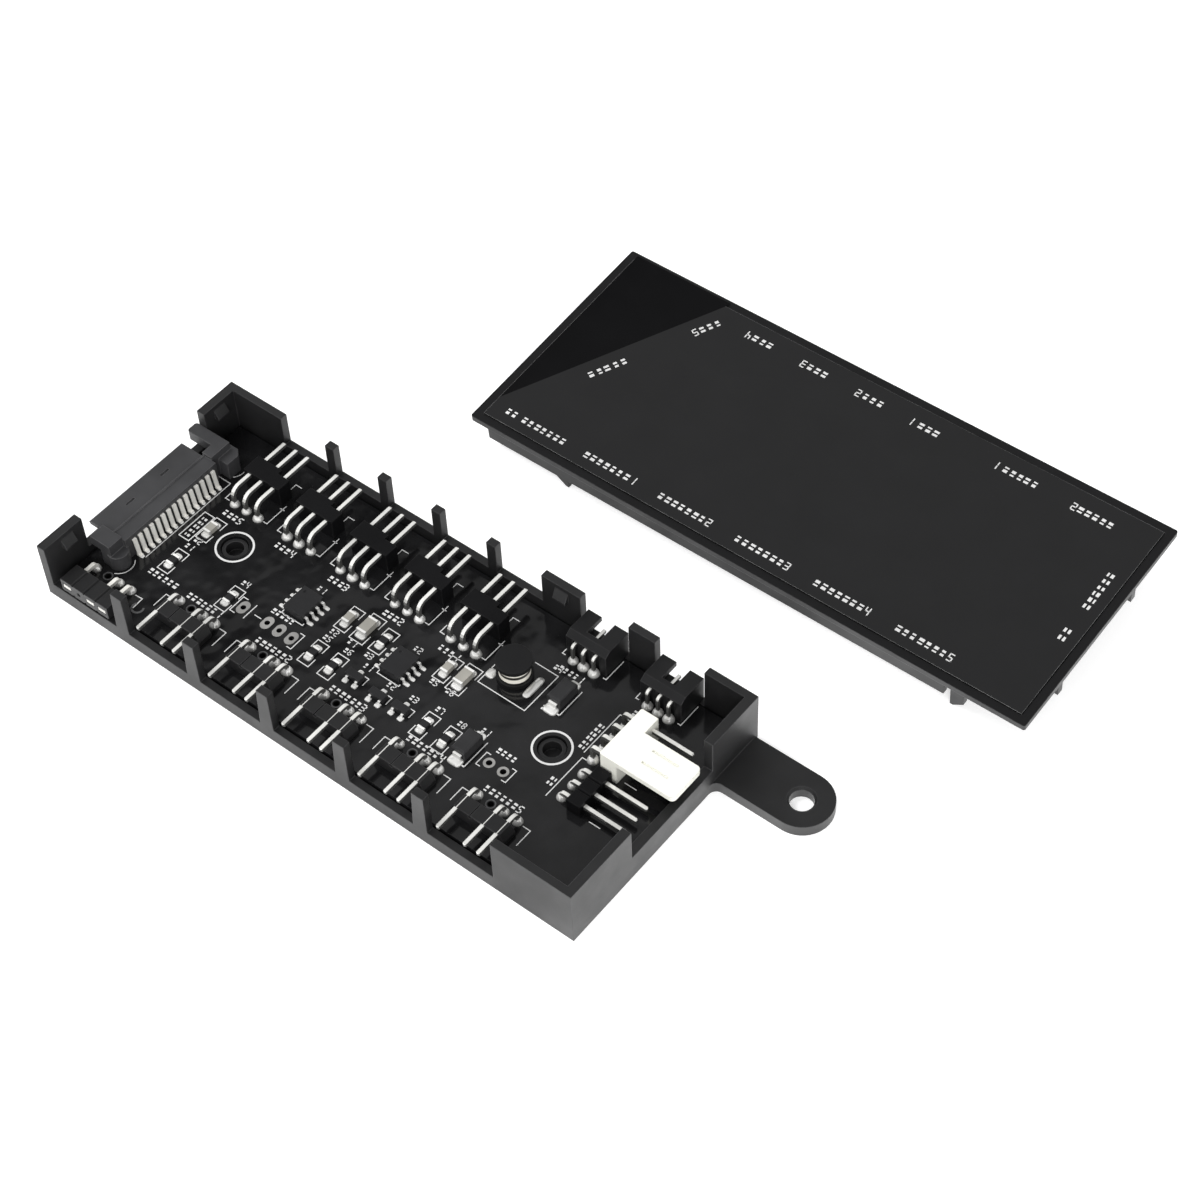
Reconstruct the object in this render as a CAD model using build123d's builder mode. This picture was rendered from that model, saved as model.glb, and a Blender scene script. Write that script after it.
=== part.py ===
from build123d import *
import os
from math import atan2, cos, degrees, radians, sin

# Fan and light controller hub for a desktop computer: an open moulded tray that
# carries one circuit board, and its cover, taken off and lying beside it.
# All sizes are in millimetres. X runs along the tray to its ear, Y from the front
# edge to the back edge and Z up. Places are measured from the tray's outer front
# left corner, and the origin is the middle of the tray's underside.

# Tray
tray_length = 106.5
tray_width = 44.0
tray_height = 11.2
tray_floor = 1.0
end_wall = 1.6
long_wall = 1.35
front_sill = 2.9
back_sill = 5.1
right_sill = 4.9
inlet_sill = 4.5
inlet_opening_width = 27.65
right_opening_width = 19.15
right_opening_from_back = 11.2

# Posts between the front bays, one beside each light header
front_post_first = 18.3
front_post_last_from_right = 27.24
front_post_top = 2.2
front_post_foot = 2.7
front_corner_block = 14.7

# Posts and panels of the back wall
back_post_first = 22.65
back_post_last_from_right = 50.25
back_post_width = 1.8
back_left_panel = 12.2
back_middle_panel_from_right = 40.15
strip_bay = 9.3
strip_bay_sill_drop = 0.25

# Snap bumps for the cover, wedges on the inner faces of the walls
bump_width = 2.5
bump_height = 1.9
bump_depth = 0.85
bump_lip = 0.3
bump_top_drop = 0.9
back_bump_from_right = 36.2

# Screw ear on the right end
ear_thickness = 2.1
ear_width = 10.1
ear_reach = 12.2
ear_middle_from_back = 5.7
ear_hole = 3.8
ear_hole_bevel = 0.4
ear_root_round = 1.4

# Circuit board and the hollow bosses that locate it
board_thickness = 1.2
board_top = 3.3
board_gap = 0.35
board_hole = 4.6
board_hole_from_left = 19.4
board_hole_from_right = 22.2
board_hole_offset = 0.7
boss_shoulder = 6.4
boss_peg = 4.2
boss_bore = 3.0
boss_peg_drop = 0.4
corner_pad = 2.2

# Pins and plated holes shared by the headers
pitch = 2.54
pin_width = 0.64
pin_tip = 0.15
pin_bend = 0.6
bend_chords = 5
pin_hole = 1.0
soldered_hole_sides = 8
open_hole_sides = 16
pin_tail = 0.6
low_pin_level = 1.27

# Light headers along the front edge, four places with the second one empty
light_count = 5
light_first_pin = 20.15
light_last_from_right = 25.5
light_pin_level = 1.95
light_tip = 0.5
light_body_front = 4.75
light_body_depth = 2.65
light_body_height = 2.2
light_foot = 1.96
light_bend = 0.9
low_body_height = 2.54
low_body_depth = 2.45
light_places = [0, 2, 3]
light_end_run = 0.75
light_end_rise = 1.3
notch_width = 0.5
notch_depth = 0.35

# Socket of the lead to the main board, in the front left corner
socket_first_pin = 5.0
socket_front = 0.1
socket_depth = 3.6
socket_foot = 2.56
socket_mouth_width = 1.7
socket_mouth_height = 0.9
socket_tab_width = 1.5
socket_tab_height = 0.6
socket_tab_length = 1.6

# Fan headers along the back edge
fan_count = 5
fan_first_pin = 13.27
fan_last_from_right = 47.63
fan_pin_level = 3.4
fan_body_from_back = 10.6
fan_body_depth = 2.55
fan_body_height = 4.1
fan_key_reach = 0.95
fan_key_height = 0.7
fan_key_width = 5.1
fan_tip_from_back = 2.2
fan_foot_from_back = 14.7
fan_bend = 1.5

# Shrouded strip headers, open to the back
strip_pitch = 2.0
strip_middle_from_right = 27.9
strip_spacing = 14.3
strip_body_width = 7.7
strip_body_depth = 5.6
strip_body_height = 5.0
strip_slope_depth = 1.1
strip_slope_height = 0.8
strip_wall = 0.9
strip_cavity_depth = 3.6
strip_slot_width = 2.55
strip_pin_width = 0.5
strip_pin_level = 3.5
strip_foot = 0.7
strip_bend = 0.5
strip_leg_notch = 1.15
strip_leg_notch_height = 3.95
strip_leg_notch_depth = 0.5
strip_inset = 0.4

# Four-pin fan input header and three-pin switch header, both facing the right end
input_body_from_right = 13.6
input_body_depth = 3.1
input_body_height = 5.2
input_first_from_back = 19.4
input_pin_level = 3.4
input_tip_from_right = 3.1
input_foot = 2.3
input_plate_width = 6.9
input_plate_thickness = 1.0
input_plate_corner = 0.8
input_groove_width = 0.35
input_groove_depth = 0.25
input_groove_length = 4.8
input_edge_round = 0.3
switch_body_from_right = 13.55
switch_before_input = 7.95
switch_tip_from_right = 3.5
switch_foot = 1.85

# Serial power inlet at the left end
contact_count = 15
contact_pitch = 1.27
contact_from_block = 1.65
contact_width = 0.7
contact_thickness = 0.3
contact_level = 3.4
contact_straight = 0.25
contact_slope = 0.45
contact_foot = 0.5
contact_start = 0.9
inlet_tongue_start = 0.0
inlet_tongue_inset = 0.3
inlet_tongue_width = 20.8
inlet_tongue_thickness = 0.75
inlet_key_width = 0.65
inlet_key_drop = 1.4
inlet_block_start = 5.0
inlet_block_depth = 2.8
inlet_block_width = 20.6
inlet_block_height = 4.45
inlet_block_offset = -0.9
inlet_lip_width = 0.3
inlet_lip_height = 0.2
inlet_arm_height = 5.0
inlet_arm_drop = 1.9
inlet_side_gap = 0.15
inlet_front_plate_width = 2.9
inlet_front_plate_start = 3.0
inlet_front_plate_end = 7.2
inlet_back_arm_start = -0.5
inlet_back_arm_round = 0.5
inlet_back_arm_width = 2.2
inlet_back_plate_start = 4.85
inlet_back_plate_end = 6.85
inlet_peg_centre = 7.1
inlet_peg_radius = 1.8
inlet_peg_offset = 1.3
inlet_peg_height = 2.9
inlet_foot_start = 5.0
inlet_foot_length = 3.9
inlet_foot_offset = 1.4
inlet_foot_width = 3.5
inlet_foot_height = 3.5
inlet_foot_bevel = 1.0
inlet_slot_length = 1.8
inlet_slot_width = 0.4
inlet_slot_depth = 0.25
inlet_slot_from_block = 6.5
inlet_slot_spacing = 7.8
inlet_tip_bevel = 0.3

# Field of the small parts: their places below are for this length and width of it,
# and spread with the tray
field_left = 10.75
field_from_right = 18.0
field_length = 77.75
field_front = 9.5
field_from_back = 15.5
field_width = 19.0

# Eight-lead control chips
chip_places = [(36.6, 20.3), (56.3, 20.4)]
chip_width = 3.9
chip_length = 4.9
chip_height = 1.45
chip_standoff = 0.1
chip_lead_pitch = 1.27
chip_lead_width = 0.42
chip_lead_thickness = 0.2
chip_lead_reach = 1.05
chip_lead_row = 4
chip_dimple = 0.3

# Small three-lead transistors
transistor_places = [(52.2, 14.7), (57.4, 14.1), (61.8, 14.3)]
transistor_length = 2.9
transistor_width = 1.35
transistor_height = 1.0
transistor_lead_spacing = 1.9
transistor_lead_width = 0.42
transistor_lead_reach = 0.6

# Power diodes
diode_places = [(79.7, 30.9), (74.4, 15.0)]
diode_width = 2.5
diode_length = 4.3
diode_height = 2.1
diode_lead_width = 1.5
diode_lead_thickness = 0.2
diode_lead_reach = 0.75
diode_draft = 0.25

# Drum inductor
inductor_place = (71.2, 29.9)
inductor_flange = 5.8
inductor_core = 2.8
inductor_height = 4.0
inductor_flange_thickness = 0.8
inductor_winding = 5.0
inductor_winding_gap = 0.1

# Two-ended chip parts, laid along Y
resistor_places = [
    (13.6, 14.7), (26.1, 14.5), (43.8, 14.4), (48.0, 14.3), (51.0, 22.65), (66.5, 14.3), (70.8, 14.2),
]
resistor_width = 1.25
resistor_length = 2.0
resistor_height = 0.5
capacitor_places = [(14.0, 23.0), (43.85, 22.7), (62.4, 24.5)]
capacitor_width = 1.3
capacitor_length = 2.2
capacitor_height = 0.9
large_capacitor_places = [(47.4, 23.0), (65.6, 24.5)]
large_capacitor_width = 1.7
large_capacitor_length = 3.2
large_capacitor_height = 1.2
chip_end_length = 0.4
chip_end_plate = 0.04

# Open plated holes in the board: a spare light header and two test points
spare_first = 29.0
spare_y = 14.5
test_points = [(78.6, 14.9), (81.3, 14.9)]

# Cover: a frame moulded with skirts, hooks and posts, and a glossy panel let into it
cover_side_gap = 0.45
cover_edge_gap = 0.2
cover_plate = 1.1
cover_rim = 1.45
cover_corner = 0.4
panel_recess = 0.6
panel_thickness = 0.8
panel_gap = 0.1
skirt_inset = 1.5
skirt_thickness = 1.0
skirt_depth = 5.9
skirt_start = 1.9
skirt_from_right = 15.0
back_skirt_start = 13.6
back_skirt_from_right = 40.0
hook_depth = 7.45
hook_width = 2.4
hook_flat = 0.5
front_hook_left = 16.0
front_hook_from_right = 13.8
end_hook_setback = 0.3
end_hook_width = 1.2
tab_width = 4.4
tab_thickness = 0.9
tab_depth = 5.6
tab_gap = 0.15
tab_window_gap = 0.3
post_diameter = 5.6
post_bore = 3.6
post_clearance = 0.24
cover_turn = 0.6
cover_left = 33.55
cover_front = 64.35

# Levels that follow from the sizes above
board_bottom = board_top - board_thickness
tail_level = board_bottom - pin_tail
low_level = board_top + low_pin_level
light_level = board_top + light_pin_level
fan_level = board_top + fan_pin_level
strip_level = board_top + strip_pin_level
input_level = board_top + input_pin_level

# Places that follow from the sizes above
inlet_opening_start = (tray_width - inlet_opening_width) / 2
inlet_opening_end = inlet_opening_start + inlet_opening_width
right_opening_end = tray_width - right_opening_from_back
right_opening_start = right_opening_end - right_opening_width
front_post_spacing = (tray_length - front_post_first - front_post_last_from_right) / (light_count - 1)
light_spacing = (tray_length - light_first_pin - light_last_from_right) / (light_count - 1)
fan_spacing = (tray_length - fan_first_pin - fan_last_from_right) / (fan_count - 1)
back_post_spacing = (tray_length - back_post_first - back_post_last_from_right) / (fan_count - 2)
back_middle_panel_start = tray_length - back_middle_panel_from_right
end_bump_middles = [
    (long_wall + inlet_opening_start) / 2,
    (inlet_opening_end + tray_width - long_wall) / 2,
]
back_bump_x = tray_length - back_bump_from_right
ear_middle = tray_width - ear_middle_from_back
board_hole_places = [
    (x, tray_width / 2 + board_hole_offset)
    for x in (board_hole_from_left, tray_length - board_hole_from_right)
]


def along(x):
    """Place along the tray of a small part that is given at x in the field's own length."""
    return field_left + (x - field_left) * (tray_length - field_left - field_from_right) / field_length


def across(y):
    """Place across the tray of a small part that is given at y in the field's own width."""
    return field_front + (y - field_front) * (tray_width - field_front - field_from_back) / field_width


def spread(places):
    """Places of small parts, spread with the tray."""
    return [(along(x), across(y)) for x, y in places]


def flat_plane(z):
    """Level plane at height z, with the tray's front left corner as its origin."""
    return Plane((-tray_length / 2, -tray_width / 2, z))


def long_plane(y):
    """Upright plane along the tray at depth y, with x to the right and y up."""
    return Plane((-tray_length / 2, y - tray_width / 2, 0), x_dir=(1, 0, 0), z_dir=(0, -1, 0))


def cross_plane(x):
    """Upright plane across the tray at length x, with x to the back and y up."""
    return Plane((x - tray_length / 2, -tray_width / 2, 0), x_dir=(0, 1, 0), z_dir=(1, 0, 0))


def save(piece, name):
    """Label a finished piece and write it."""
    piece.part.label = name
    export_step(piece.part, f"parts/{name}.step")


def bent_pins(planes, tip, foot, level, bend, width):
    """Square pins, one in each upright plane: level from the tip, then bent down through the board."""
    way = 1 if foot > tip else -1
    turns = [radians(90 * n / bend_chords) for n in range(bend_chords + 1)]
    curve = [(foot - way * bend * (1 - sin(t)), level - bend * (1 - cos(t))) for t in turns]
    with BuildPart() as pins:
        for plane in planes:
            with BuildSketch(plane):
                with BuildLine():
                    Polyline((tip, level), *curve, (foot, tail_level))
                trace(line_width=width)
            extrude(amount=width / 2, both=True)
    return pins


os.makedirs("parts", exist_ok=True)

# Tray: one moulding with a floor, four walls cut down into bays, bosses, snap bumps and a screw ear
with BuildPart() as tray:
    with BuildSketch(flat_plane(0)):
        Rectangle(tray_length, tray_width, align=Align.MIN)
    extrude(amount=tray_height)
    with BuildSketch(flat_plane(tray_floor)):
        with Locations((end_wall, long_wall)):
            Rectangle(tray_length - 2 * end_wall, tray_width - 2 * long_wall, align=Align.MIN)
    extrude(amount=tray_height, mode=Mode.SUBTRACT)

    # Front bays: the left side of each post leans, so the post is wider at its foot
    bay_left = end_wall
    with BuildSketch(long_plane(0)):
        for number in range(light_count):
            post_right = front_post_first + front_post_spacing * number
            Polygon(
                (bay_left, front_sill),
                (post_right - front_post_foot, front_sill),
                (post_right - front_post_top, tray_height),
                (bay_left, tray_height),
                align=None,
            )
            bay_left = post_right
        with Locations((bay_left, front_sill)):
            Rectangle(tray_length - front_corner_block - bay_left, tray_height, align=Align.MIN)
    extrude(amount=-long_wall, mode=Mode.SUBTRACT)

    # Back bays: one for each fan header, then one for each strip header
    with BuildSketch(long_plane(tray_width)):
        bay_left = back_left_panel
        for number in range(fan_count - 1):
            post_left = back_post_first + back_post_spacing * number - back_post_width / 2
            with Locations((bay_left, back_sill)):
                Rectangle(post_left - bay_left, tray_height, align=Align.MIN)
            bay_left = post_left + back_post_width
        with Locations((bay_left, back_sill)):
            Rectangle(back_middle_panel_start - bay_left, tray_height, align=Align.MIN)
        for number in range(2):
            strip_middle = tray_length - strip_middle_from_right + strip_spacing * number
            with Locations((strip_middle, board_top - strip_bay_sill_drop)):
                Rectangle(strip_bay, tray_height, align=(Align.CENTER, Align.MIN))
    extrude(amount=long_wall, mode=Mode.SUBTRACT)

    # Openings in the end walls: the power inlet on the left, two headers on the right
    with BuildSketch(cross_plane(0)):
        with Locations((inlet_opening_start, inlet_sill)):
            Rectangle(inlet_opening_end - inlet_opening_start, tray_height, align=Align.MIN)
    extrude(amount=end_wall, mode=Mode.SUBTRACT)
    with BuildSketch(cross_plane(tray_length)):
        with Locations((right_opening_start, right_sill)):
            Rectangle(right_opening_end - right_opening_start, tray_height, align=Align.MIN)
    extrude(amount=-end_wall, mode=Mode.SUBTRACT)

    # Bosses and corner pads that carry the board, then the pegs that locate it
    with BuildSketch(flat_plane(tray_floor)):
        with Locations(*board_hole_places):
            Circle(boss_shoulder / 2)
        with Locations(
            (end_wall, long_wall),
            (tray_length - end_wall - corner_pad, long_wall),
            (end_wall, tray_width - long_wall - corner_pad),
            (tray_length - end_wall - corner_pad, tray_width - long_wall - corner_pad),
        ):
            Rectangle(corner_pad, corner_pad, align=Align.MIN)
    extrude(amount=board_bottom - tray_floor)
    with BuildSketch(flat_plane(board_bottom)):
        with Locations(*board_hole_places):
            Circle(boss_peg / 2)
    extrude(amount=board_thickness - boss_peg_drop)
    with BuildSketch(flat_plane(tray_floor)):
        with Locations(*board_hole_places):
            Circle(boss_bore / 2)
    extrude(amount=board_top, mode=Mode.SUBTRACT)

    # Snap bumps: wedges that slope up to the wall, two at the left end and one at the back
    bump_top = tray_height - bump_top_drop
    bump_bottom = bump_top - bump_height
    with BuildSketch(*[long_plane(y - bump_width / 2) for y in end_bump_middles]):
        Polygon(
            (end_wall, bump_bottom),
            (end_wall + bump_depth, bump_bottom),
            (end_wall + bump_depth, bump_bottom + bump_lip),
            (end_wall, bump_top),
            align=None,
        )
    extrude(amount=-bump_width)
    back_face = tray_width - long_wall
    with BuildSketch(cross_plane(back_bump_x - bump_width / 2)):
        Polygon(
            (back_face, bump_bottom),
            (back_face - bump_depth, bump_bottom),
            (back_face - bump_depth, bump_bottom + bump_lip),
            (back_face, bump_top),
            align=None,
        )
    extrude(amount=bump_width)

    # Screw ear: a flat tongue with a round end, rounded into the wall at its front root
    with BuildSketch(flat_plane(0)):
        with Locations((tray_length, ear_middle)):
            Rectangle(ear_reach, ear_width, align=(Align.MIN, Align.CENTER))
        with Locations((tray_length + ear_reach, ear_middle)):
            Circle(ear_width / 2)
            Circle(ear_hole / 2, mode=Mode.SUBTRACT)
    extrude(amount=ear_thickness)
    ear_root = flat_plane(0).from_local_coords((tray_length, ear_middle - ear_width / 2, ear_thickness / 2))
    fillet(tray.edges().filter_by(Axis.Z).sort_by_distance(ear_root)[0], radius=ear_root_round)
    ear_rim = flat_plane(0).from_local_coords((tray_length + ear_reach, ear_middle, ear_thickness))
    chamfer(tray.edges().filter_by(GeomType.CIRCLE).sort_by_distance(ear_rim)[0], length=ear_hole_bevel)
save(tray, "tray")

# Places of every plated hole in the board
light_foot_y = light_body_front + light_body_depth + light_foot
socket_foot_y = socket_front + socket_depth + socket_foot
strip_body_front = tray_width - strip_inset - strip_body_depth
strip_foot_y = strip_body_front - strip_foot
input_foot_x = tray_length - input_body_from_right - input_foot
switch_foot_x = tray_length - switch_body_from_right - switch_foot
strip_middles = [tray_length - strip_middle_from_right + strip_spacing * n for n in range(2)]
light_firsts = [light_first_pin + light_spacing * n for n in range(light_count)]
fan_firsts = [fan_first_pin + fan_spacing * n for n in range(fan_count)]
input_first_pin = tray_width - input_first_from_back
switch_first_pin = input_first_pin - switch_before_input
fan_body_front = tray_width - fan_body_from_back
fan_tip = tray_width - fan_tip_from_back
fan_foot = tray_width - fan_foot_from_back
hole_places = [(first + pitch * n, light_foot_y) for first in light_firsts for n in light_places]
hole_places += [(socket_first_pin + pitch * n, socket_foot_y) for n in light_places]
hole_places += [(first + pitch * n, fan_foot) for first in fan_firsts for n in range(3)]
hole_places += [(middle + strip_pitch * n, strip_foot_y) for middle in strip_middles for n in (-1, 0, 1)]
hole_places += [(input_foot_x, input_first_pin + pitch * n) for n in range(4)]
hole_places += [(switch_foot_x, switch_first_pin + pitch * n) for n in range(3)]
open_places = [(first + pitch, light_foot_y) for first in light_firsts]
open_places += [(socket_first_pin + pitch, socket_foot_y)]
open_places += [(along(spare_first) + pitch * n, across(spare_y)) for n in (0, 2, 3, 4)]
open_places += spread(test_points)

# Circuit board: a flat laminate that drops between the walls and over the two pegs
board_left = end_wall + board_gap
board_front = long_wall + board_gap
with BuildPart() as circuit_board:
    with BuildSketch(flat_plane(board_bottom)):
        with Locations((board_left, board_front)):
            Rectangle(tray_length - 2 * board_left, tray_width - 2 * board_front, align=Align.MIN)
        with Locations(*board_hole_places):
            Circle(board_hole / 2, mode=Mode.SUBTRACT)
        with Locations(*hole_places):
            RegularPolygon(pin_hole / 2, soldered_hole_sides, mode=Mode.SUBTRACT)
        with Locations(*open_places):
            RegularPolygon(pin_hole / 2, open_hole_sides, mode=Mode.SUBTRACT)
    extrude(amount=board_thickness)
save(circuit_board, "circuit_board")


# Light headers: pins one, three and four stand out to the front edge
for number, first in enumerate(light_firsts, start=1):
    light_left = first - pitch / 2
    light_right = light_left + 4 * pitch
    light_top = board_top + light_body_height
    with BuildPart() as light_body:
        with BuildSketch(long_plane(light_body_front)):
            Polygon(
                (light_left, board_top),
                (light_right, board_top),
                (light_right, light_top - light_end_rise),
                (light_right - light_end_run, light_top),
                (light_left + light_end_run, light_top),
                (light_left, light_top - light_end_rise),
                align=None,
            )
            with Locations(*[(first + pitch * n, light_level) for n in range(4)]):
                Rectangle(pin_width, pin_width, mode=Mode.SUBTRACT)
        extrude(amount=-light_body_depth)
    save(light_body, f"light_header_body_{number}")
    light_planes = [cross_plane(first + pitch * n) for n in light_places]
    light_pins = bent_pins(light_planes, light_tip, light_foot_y, light_level, light_bend, pin_width)
    with light_pins:
        chamfer(light_pins.faces().group_by(Axis.Y)[0].edges(), length=pin_tip)
    save(light_pins, f"light_header_pins_{number}")

# Socket for the lead from the main board: its wide contact tabs end in mouths in the front face
socket_left = socket_first_pin - pitch / 2
with BuildPart() as socket_body:
    with BuildSketch(long_plane(socket_front)):
        with Locations((socket_left, board_top)):
            Rectangle(4 * pitch, low_body_height, align=Align.MIN)
        for number in range(1, 4):
            notch = socket_left + pitch * number
            for edge, inward in ((board_top, 1), (board_top + low_body_height, -1)):
                Polygon(
                    (notch - notch_width / 2, edge),
                    (notch + notch_width / 2, edge),
                    (notch, edge + inward * notch_depth),
                    align=None,
                    mode=Mode.SUBTRACT,
                )
        with Locations(*[(socket_first_pin + pitch * n, low_level) for n in range(4)]):
            Rectangle(pin_width, pin_width, mode=Mode.SUBTRACT)
    extrude(amount=-socket_depth)
    with BuildSketch(long_plane(socket_front)):
        with Locations(*[(socket_first_pin + pitch * n, low_level) for n in light_places]):
            Rectangle(socket_mouth_width, socket_mouth_height)
    extrude(amount=-socket_tab_length, mode=Mode.SUBTRACT)
save(socket_body, "board_light_socket_body")
socket_planes = [cross_plane(socket_first_pin + pitch * n) for n in light_places]
socket_tip = socket_front + socket_tab_length
with BuildPart() as socket_contacts:
    add(bent_pins(socket_planes, socket_tip, socket_foot_y, low_level, pin_bend, pin_width).part)
    with BuildSketch(long_plane(socket_front)):
        with Locations(*[(socket_first_pin + pitch * n, low_level) for n in light_places]):
            Rectangle(socket_tab_width, socket_tab_height)
    extrude(amount=-socket_tab_length)
save(socket_contacts, "board_light_socket_contacts")

# Fan headers: an upright bar with a short key over the first two pins, which reach to the back edge
for number, first in enumerate(fan_firsts, start=1):
    with BuildPart() as fan_body:
        with BuildSketch(long_plane(fan_body_front)):
            with Locations((first - pitch / 2, board_top)):
                Rectangle(3 * pitch, fan_body_height, align=Align.MIN)
            with Locations(*[(first + pitch * n, fan_level) for n in range(3)]):
                Rectangle(pin_width, pin_width, mode=Mode.SUBTRACT)
        extrude(amount=-fan_body_depth)
        with BuildSketch(long_plane(fan_body_front + fan_body_depth)):
            with Locations((first - pitch / 2, board_top + fan_body_height)):
                Rectangle(fan_key_width, fan_key_height, align=(Align.MIN, Align.MAX))
            with Locations(*[(first + pitch * n, fan_level) for n in range(3)]):
                Rectangle(pin_width, pin_width, mode=Mode.SUBTRACT)
        extrude(amount=-fan_key_reach)
    save(fan_body, f"fan_header_body_{number}")
    fan_planes = [cross_plane(first + pitch * n) for n in range(3)]
    fan_pins = bent_pins(fan_planes, fan_tip, fan_foot, fan_level, fan_bend, pin_width)
    with fan_pins:
        chamfer(fan_pins.faces().group_by(Axis.Y)[-1].edges(), length=pin_tip)
    save(fan_pins, f"fan_header_pins_{number}")

# Strip headers: a shroud open to the back, slotted along its top, sloped at the front and with a leg
# notch for each pin
for number, middle in enumerate(strip_middles, start=1):
    strip_pin_places = [middle + strip_pitch * n for n in (-1, 0, 1)]
    strip_back = strip_body_front + strip_body_depth
    with BuildPart() as strip_body:
        with BuildSketch(long_plane(strip_body_front)):
            with Locations((middle, board_top)):
                Rectangle(strip_body_width, strip_body_height, align=(Align.CENTER, Align.MIN))
            with Locations(*[(x, strip_level) for x in strip_pin_places]):
                Rectangle(strip_pin_width, strip_pin_width, mode=Mode.SUBTRACT)
        extrude(amount=-strip_body_depth)
        strip_top = board_top + strip_body_height
        with BuildSketch(cross_plane(middle - strip_body_width / 2)):
            Polygon(
                (strip_body_front, strip_top),
                (strip_body_front + strip_slope_depth, strip_top),
                (strip_body_front, strip_top - strip_slope_height),
                align=None,
            )
        extrude(amount=strip_body_width, mode=Mode.SUBTRACT)
        with BuildSketch(long_plane(strip_back)):
            with Locations((middle, board_top + strip_wall)):
                Rectangle(
                    strip_body_width - 2 * strip_wall,
                    strip_body_height - 2 * strip_wall,
                    align=(Align.CENTER, Align.MIN),
                )
            with Locations((middle, strip_top)):
                Rectangle(strip_slot_width, 2 * strip_wall, align=(Align.CENTER, Align.MAX))
        extrude(amount=strip_cavity_depth, mode=Mode.SUBTRACT)
        with BuildSketch(long_plane(strip_body_front)):
            with Locations(*[(x, board_top) for x in strip_pin_places]):
                Rectangle(strip_leg_notch, strip_leg_notch_height, align=(Align.CENTER, Align.MIN))
        extrude(amount=-strip_leg_notch_depth, mode=Mode.SUBTRACT)
    save(strip_body, f"strip_header_body_{number}")
    strip_planes = [cross_plane(x) for x in strip_pin_places]
    strip_tip = strip_back - strip_wall
    strip_pins = bent_pins(strip_planes, strip_tip, strip_foot_y, strip_level, strip_bend, strip_pin_width)
    save(strip_pins, f"strip_header_pins_{number}")

# Fan input header: a pale block with a lock plate that lies over three of its four pins
input_places = [input_first_pin + pitch * n for n in range(4)]
input_left = tray_length - input_body_from_right
input_right = input_left + input_body_depth
input_front = input_first_pin - pitch / 2
input_top = board_top + input_body_height
with BuildPart() as input_body:
    with BuildSketch(cross_plane(input_left)):
        with Locations((input_front, board_top)):
            Rectangle(4 * pitch, input_body_height, align=Align.MIN)
        with Locations(*[(y, input_level) for y in input_places]):
            Rectangle(pin_width, pin_width, mode=Mode.SUBTRACT)
    extrude(amount=input_body_depth)
    with BuildSketch(flat_plane(input_top - input_plate_thickness)):
        with Locations((input_right, input_front)):
            Rectangle(tray_length - input_right, input_plate_width, align=Align.MIN)
    extrude(amount=input_plate_thickness)
    plate_end = input_body.edges().filter_by(Axis.Z).group_by(Axis.X)[-1]
    fillet(plate_end, radius=input_plate_corner)
    with BuildSketch(flat_plane(input_top)):
        groove_x = (input_right + tray_length) / 2
        with Locations(*[(groove_x, input_first_pin + pitch * (n + 0.5)) for n in range(2)]):
            Rectangle(input_groove_length, input_groove_width)
    extrude(amount=-input_groove_depth, mode=Mode.SUBTRACT)
    fillet(input_body.faces().sort_by(Axis.X)[0].edges().filter_by(Axis.Z), radius=input_edge_round)
save(input_body, "fan_input_body")
input_planes = [long_plane(y) for y in input_places]
input_tip = tray_length - input_tip_from_right
input_pins = bent_pins(input_planes, input_tip, input_foot_x, input_level, pin_bend, pin_width)
with input_pins:
    chamfer(input_pins.faces().group_by(Axis.X)[-1].edges(), length=pin_tip)
save(input_pins, "fan_input_pins")

# Switch header: three places in a low bar, pins to the right end
switch_places = [switch_first_pin + pitch * n for n in range(3)]
switch_left = tray_length - switch_body_from_right
with BuildPart() as switch_body:
    with BuildSketch(cross_plane(switch_left)):
        with Locations((switch_first_pin - pitch / 2, board_top)):
            Rectangle(3 * pitch, low_body_height, align=Align.MIN)
        for number in (1, 2):
            notch = switch_first_pin + pitch * (number - 0.5)
            for edge, inward in ((board_top, 1), (board_top + low_body_height, -1)):
                Polygon(
                    (notch - notch_width / 2, edge),
                    (notch + notch_width / 2, edge),
                    (notch, edge + inward * notch_depth),
                    align=None,
                    mode=Mode.SUBTRACT,
                )
        with Locations(*[(y, low_level) for y in switch_places]):
            Rectangle(pin_width, pin_width, mode=Mode.SUBTRACT)
    extrude(amount=low_body_depth)
save(switch_body, "switch_header_body")
switch_planes = [long_plane(y) for y in switch_places]
switch_tip = tray_length - switch_tip_from_right
switch_pins = bent_pins(switch_planes, switch_tip, switch_foot_x, low_level, pin_bend, pin_width)
with switch_pins:
    chamfer(switch_pins.faces().group_by(Axis.X)[-1].edges(), length=pin_tip)
save(switch_pins, "switch_header_pins")

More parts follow.
